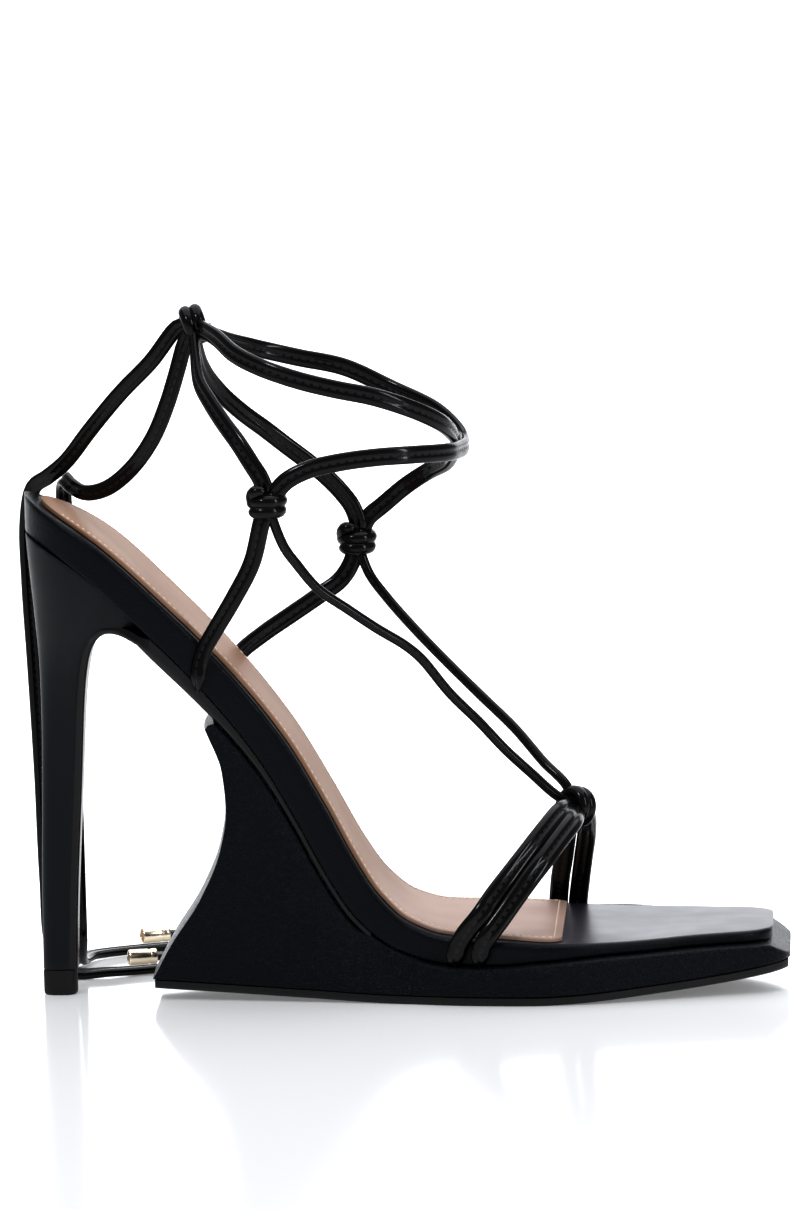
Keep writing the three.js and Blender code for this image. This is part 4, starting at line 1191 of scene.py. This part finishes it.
class SandalSock(bpy.types.Operator):
    """Adds the tan lining and its stitches"""

    bl_idname = "sandal.sock"
    bl_label = "Sock lining"

    def execute(self, context):
        last = Last(context.scene)
        bed, finishes = last.bed, last.finishes
        back = bed.back + bed.sock_back
        front = back + bed.sock_length
        corner = bed.toe_corner * 0.5
        radius = bed.seat_radius - bed.sock_margin
        shape = (back, front, radius, corner)
        lower = last.below(lambda x: -bed.gap * 0.5)
        upper = last.below(lambda x: -bed.gap - bed.sock_thickness)
        soft = bed.sock_thickness * 0.6
        rings = []
        for x in stations(*shape):
            sides = last.sides(x, *shape, bed.sock_margin, bed.edge)
            rings.append(slab(x, sides, sides, lower(x), upper(x), 0.1 * MM, soft))
        sock = loft("sock_lining", rings)
        looks = Looks("sock leather", finishes.sock, 0.5, Specular_IOR_Level=0.2)
        # Painted glare: the lining's colour goes from its tan at the seat to a paler, greyer tan at
        # the ball
        share = looks.node(
            "ShaderNodeMapRange",
            {"interpolation_type": "SMOOTHSTEP"},
            {"Value": looks.point.part(0), "From Min": last.bed_x(0.42), "From Max": last.bed_x(0.56)},
        )
        cloudy = looks.noise(60, 3)
        tan_with_glare = looks.mixed(share, (*finishes.sock, 1), (*finishes.sock_with_glare, 1))
        looks.feed("Base Color", looks.mixed(cloudy * 0.3, tan_with_glare, WORN_SOCK))
        looks.bump(looks.cell_edges(1900) * 0.6 + looks.noise(3500, 2) * 0.4, 0.04 * MM)
        looks.feed("Roughness", 0.42 + cloudy * 0.12)
        wear(sock, 50, "insole", looks)

        thread = Looks("sock thread", finishes.thread, 0.6)
        thread.feed("Roughness", 0.5 + thread.noise(2500, 2) * 0.2)
        seam = []
        for hand, way in enumerate((-1, 1)):
            line = []
            for x in spread(back + radius * 0.25, front - bed.stitch_inset, 90):
                sides = last.sides(min(x, front - corner), *shape, bed.sock_margin, bed.edge)
                line.append(Vector((x, (sides[hand] - bed.stitch_inset) * way, upper(x))))
            seam.append(evenly(line, bed.stitch_step))
        seam.append(evenly([line[-1] for line in seam], bed.stitch_step))
        stitches = row_of_stitches("sock_stitches", seam, bed.stitch)
        wear(stitches, 60, None, thread)
        return {"FINISHED"}


def row_of_stitches(name, lines, length):
    """One modelled stitch, copied along each line."""
    rest_selection()
    bpy.ops.mesh.primitive_uv_sphere_add(segments=6, ring_count=5, radius=length / 2)
    model = bpy.context.object
    bpy.ops.object.mode_set(mode="EDIT")
    bpy.ops.mesh.select_all(action="SELECT")
    bpy.ops.transform.resize(value=STITCH_FORM)
    bpy.ops.object.mode_set(mode="OBJECT")
    copies = []
    for line in lines:
        for a, b in zip(line, line[1:]):
            stitch = model.copy()
            stitch.data = model.data.copy()
            bpy.context.collection.objects.link(stitch)
            ahead = (b - a).normalized()
            left = UPWARD.cross(ahead).normalized()
            turn = Matrix((ahead, left, ahead.cross(left))).transposed()
            stitch.matrix_world = Matrix.Translation(a.lerp(b, 0.5)) @ turn.to_4x4()
            copies.append(stitch)
    bpy.data.objects.remove(model)
    row = join(name, copies)
    bpy.ops.object.transform_apply(location=True, rotation=True, scale=True)
    return row


def heel_ring(back, front, half, z):
    """A heel section: round at the back, squarer at the breast."""
    middle, reach = (front - back) / 2, (front + back) / 2
    ring = []
    for turn in spread(0, 1, 44)[:-1]:
        c, s = math.cos(2 * math.pi * turn), math.sin(2 * math.pi * turn)
        along = math.copysign(abs(c) ** (0.62 if c > 0 else 0.94), c)
        across = math.copysign(abs(s) ** 0.86, s)
        ring.append(Vector((middle + reach * along, half * across, z)))
    return ring


def breast_rows(last):
    """Sections of the flap up the heel's breast: outer edge, inner edge and half width."""
    heel = last.heel
    columns = [[row[key] for row in BREAST] for key in ("along", "up", "half")]
    columns = [[column[0], *column, column[-1]] for column in columns]
    rows = []
    for step in spread(0, len(BREAST) - 1, BREAST_SECTIONS):
        i = min(int(step), len(BREAST) - 2)
        along, up, half = [
            hermite(step - i, a, b, (b - before) / 2, (after - a) / 2)
            for before, a, b, after in [column[i : i + 4] for column in columns]
        ]
        height = heel.tip_height + last.bed.gap + up * last.bed.seat_height
        outer = Vector((along * heel.stem_length, height))
        rows.append([outer, None, half * heel.stem_width - heel.flap_inset])
    for i, row in enumerate(rows):
        ahead = (rows[min(i + 1, len(rows) - 1)][0] - rows[max(i - 1, 0)][0]).normalized()
        row[1] = row[0] + Vector((-ahead.y, ahead.x)) * last.waist(last.bed.back)
    return rows


class SandalHeel(bpy.types.Operator):
    """Adds the leather covered heel and its rubber tip"""

    bl_idname = "sandal.heel"
    bl_label = "Heel and tip"

    def execute(self, context):
        last = Last(context.scene)
        heel, bed, finishes = last.heel, last.bed, last.finishes
        column = graphs(HEEL, "up")
        rings = []
        for up in spread(0, HEEL[-1]["up"], HEEL_SECTIONS):
            back, front = [column[end](up) * heel.stem_length for end in ("back", "front")]
            z = heel.tip_height + bed.gap + up * (bed.seat_height - heel.tip_height)
            rings.append(heel_ring(back, front, column["half"](up) * heel.stem_width, z))
        cover = loft("heel_cover", rings)
        ceiling = bed.seat_height * 1.3
        xs = spread(2 * bed.back, last.bed_x(0.4), 60)
        seat = [(x, last.under_seat(max(x, bed.back)) - bed.gap * 0.4) for x in xs]
        seat += [(xs[-1], ceiling), (xs[0], ceiling)]
        cut(cover, sideways("seat_cutter", seat, bed.ball_width))
        inner = [(row[1].x + 0.2 * MM, row[1].y - 0.25 * MM) for row in breast_rows(last)]
        far, low = heel.sole_front * 2, -heel.tip_height
        breast = [(inner[0][0], low), *inner, (far, inner[-1][1]), (far, low)]
        cut(cover, sideways("breast_cutter", breast, bed.ball_width))
        soften(cover, 0.3 * MM, 50, 2)
        leather = grained_leather("heel leather", finishes.leather, 0.42, 1500, 0.03 * MM, 0.26)
        wear(cover, 35, "heel", leather)

        reach = HEEL[0]["back"] * heel.stem_length
        side = HEEL[0]["half"] * heel.stem_width
        rings = []
        for share, up in HEEL_TIP_PROFILE:
            ends = (reach * share, reach * 1.05 * share, side * share)
            rings.append(heel_ring(*ends, heel.tip_height * up))
        tip = loft("heel_top_piece", rings)
        rubber = gritty_rubber("tip rubber", finishes.rubber, 0.52, 0.35, 1800, 0.05 * MM)
        wear(tip, 40, "heel_tip", rubber)
        return {"FINISHED"}


class SandalWaist(bpy.types.Operator):
    """Adds the thin sole from the heel's breast to the wedge"""

    bl_idname = "sandal.waist"
    bl_label = "Waist sole"

    def execute(self, context):
        last = Last(context.scene)
        heel = last.heel
        rows = breast_rows(last)
        start = heel.stem_length * (BREAST[-1]["along"] + 0.4)
        for x in spread(start, heel.sole_front, WAIST_SECTIONS):
            outer = Vector((x, last.waist_outer(x)))
            inner = Vector((x, last.under_seat(x)))
            rows.append([outer, inner, min(last.bed_sides(x)) - heel.flap_inset])
        rings = []
        for outer, inner, half in rows:
            depth = (inner - outer).length
            ring = []
            for flat in slab(0, (half, half), (half, half), depth, 0, FINE_HEM, depth * 0.45):
                spot = outer.lerp(inner, flat.z / depth)
                ring.append(Vector((spot.x, flat.y, spot.y)))
            rings.append(ring)
        cover = loft("waist_cover", rings)
        looks = grained_leather("waist leather", last.finishes.sole, 0.3, 900, 0.03 * MM, 0.4)
        wear(cover, 50, "waist_sole", looks)
        return {"FINISHED"}


class SandalPlatform(bpy.types.Operator):
    """Adds the wedge platform and its outsole"""

    bl_idname = "sandal.platform"
    bl_label = "Wedge platform and outsole"

    def execute(self, context):
        last = Last(context.scene)
        sizes, finishes = last.platform, last.finishes
        front = last.platform_front
        toe = toe_stations(front, sizes.corner)
        xs = [*spread(sizes.back, toe[0], PLATFORM_SECTIONS)[:-1], *toe]
        rings = []
        for x in xs:
            drop = max(0, 1 - (front - x) / sizes.slant_run) * sizes.slant
            floor = last.floor_lift(x) + sizes.outsole + last.bed.gap
            heights = (floor, last.wedge_top(x) - drop)
            foot, head = last.platform_sides(x), last.head_sides(x)
            rings.append(slab(x, foot, head, *heights, HEM, sizes.edge, 5))
        cover = loft("wedge_cover", rings)
        width = last.bed.ball_width * 0.8
        cut(cover, sideways("hollow_cutter", hollow_outline(last), width, 8, sizes.bow))
        soften(cover, 0.7 * MM, 40, 3)
        leather = grained_leather("platform leather", finishes.leather, 0.3, 1150, 0.5 * MM, 0.13)
        wear(cover, 40, "wedge_platform", leather)

        inset = sizes.outsole_inset
        rings = []
        for x in [sizes.back + inset, *[x for x in xs[1:] if x < front - 2 * inset], front - inset]:
            outer, inner = last.platform_sides(x, inset)
            floor = last.floor_lift(x)
            top = floor + sizes.outsole
            corners = [
                (-outer + inset, floor, 0.2 * MM),
                (-outer, floor + inset, 0.3 * MM),
                (-outer, top, 0.25 * MM),
                (inner, top, 0.25 * MM),
                (inner, floor + inset, 0.3 * MM),
                (inner - inset, floor, 0.2 * MM),
            ]
            rings.append([Vector((x, y, z)) for y, z in outline(corners, 3, 4)])
        sheet = loft("outsole_sheet", rings)
        rubber = gritty_rubber("outsole rubber", finishes.rubber, 0.42, 0.4, 1400, 0.06 * MM)
        wear(sheet, 40, "outsole", rubber)
        return {"FINISHED"}


def hollow_outline(last):
    """Side view of the space behind the wedge."""
    sizes = last.platform
    inward = smooth_graph(WEDGE_HOLLOW, "up", "inward")
    first = WEDGE_HOLLOW[0]["up"]
    ups = spread(first, 1, 40)
    edge = [(sizes.back + sizes.scoop * inward(up), sizes.tip_height * up) for up in ups]
    tip_x, tip_z = edge[-1]
    low = -last.heel.tip_height
    high = last.bed.seat_height
    return [
        (sizes.back - sizes.scoop, low),
        (sizes.back + sizes.toe, low),
        (sizes.back + sizes.toe, sizes.tip_height * first * 0.6),
        *edge,
        (tip_x + sizes.nose * 0.3, tip_z + sizes.nose * 0.45),
        (tip_x + sizes.nose, tip_z + sizes.nose * 0.65),
        (tip_x + sizes.nose, high),
        (sizes.back - sizes.scoop, high),
    ]


class SandalPanel(bpy.types.Panel):
    """Lists the sandal's pieces and sizes"""

    bl_idname = "VIEW3D_PT_sandal"
    bl_label = "Lace-up sandal"
    bl_space_type = "VIEW_3D"
    bl_region_type = "UI"
    bl_category = "Sandal"

    def draw(self, context):
        for operator in OPERATORS:
            self.layout.operator(operator.bl_idname)
        for name in GROUPS:
            group = getattr(context.scene, name)
            column = self.layout.column(align=True)
            for key in group.__annotations__:
                column.prop(group, key)


GROUPS = {
    "sandal_footbed": FootbedSizes,
    "sandal_heel": HeelSizes,
    "sandal_platform": PlatformSizes,
    "sandal_straps": StrapSizes,
    "sandal_finishes": Finishes,
    "sandal_studio": StudioSizes,
}
OPERATORS = (
    SandalStage,
    SandalTies,
    SandalStraps,
    SandalKnots,
    SandalFootbed,
    SandalSock,
    SandalHeel,
    SandalWaist,
    SandalPlatform,
)


def register():
    for name, group in GROUPS.items():
        bpy.utils.register_class(group)
        setattr(bpy.types.Scene, name, PointerProperty(type=group))
    for operator in OPERATORS:
        bpy.utils.register_class(operator)
    bpy.utils.register_class(SandalPanel)


def unregister():
    bpy.utils.unregister_class(SandalPanel)
    for operator in reversed(OPERATORS):
        bpy.utils.unregister_class(operator)
    for name, group in reversed(GROUPS.items()):
        delattr(bpy.types.Scene, name)
        bpy.utils.unregister_class(group)


def main():
    register()
    bpy.ops.sandal.stage()
    bpy.ops.sandal.ties()
    bpy.ops.sandal.straps()
    bpy.ops.sandal.knots()
    bpy.ops.sandal.footbed()
    bpy.ops.sandal.sock()
    bpy.ops.sandal.heel()
    bpy.ops.sandal.waist()
    bpy.ops.sandal.platform()
    rest_selection()


if __name__ == "__main__":
    main()
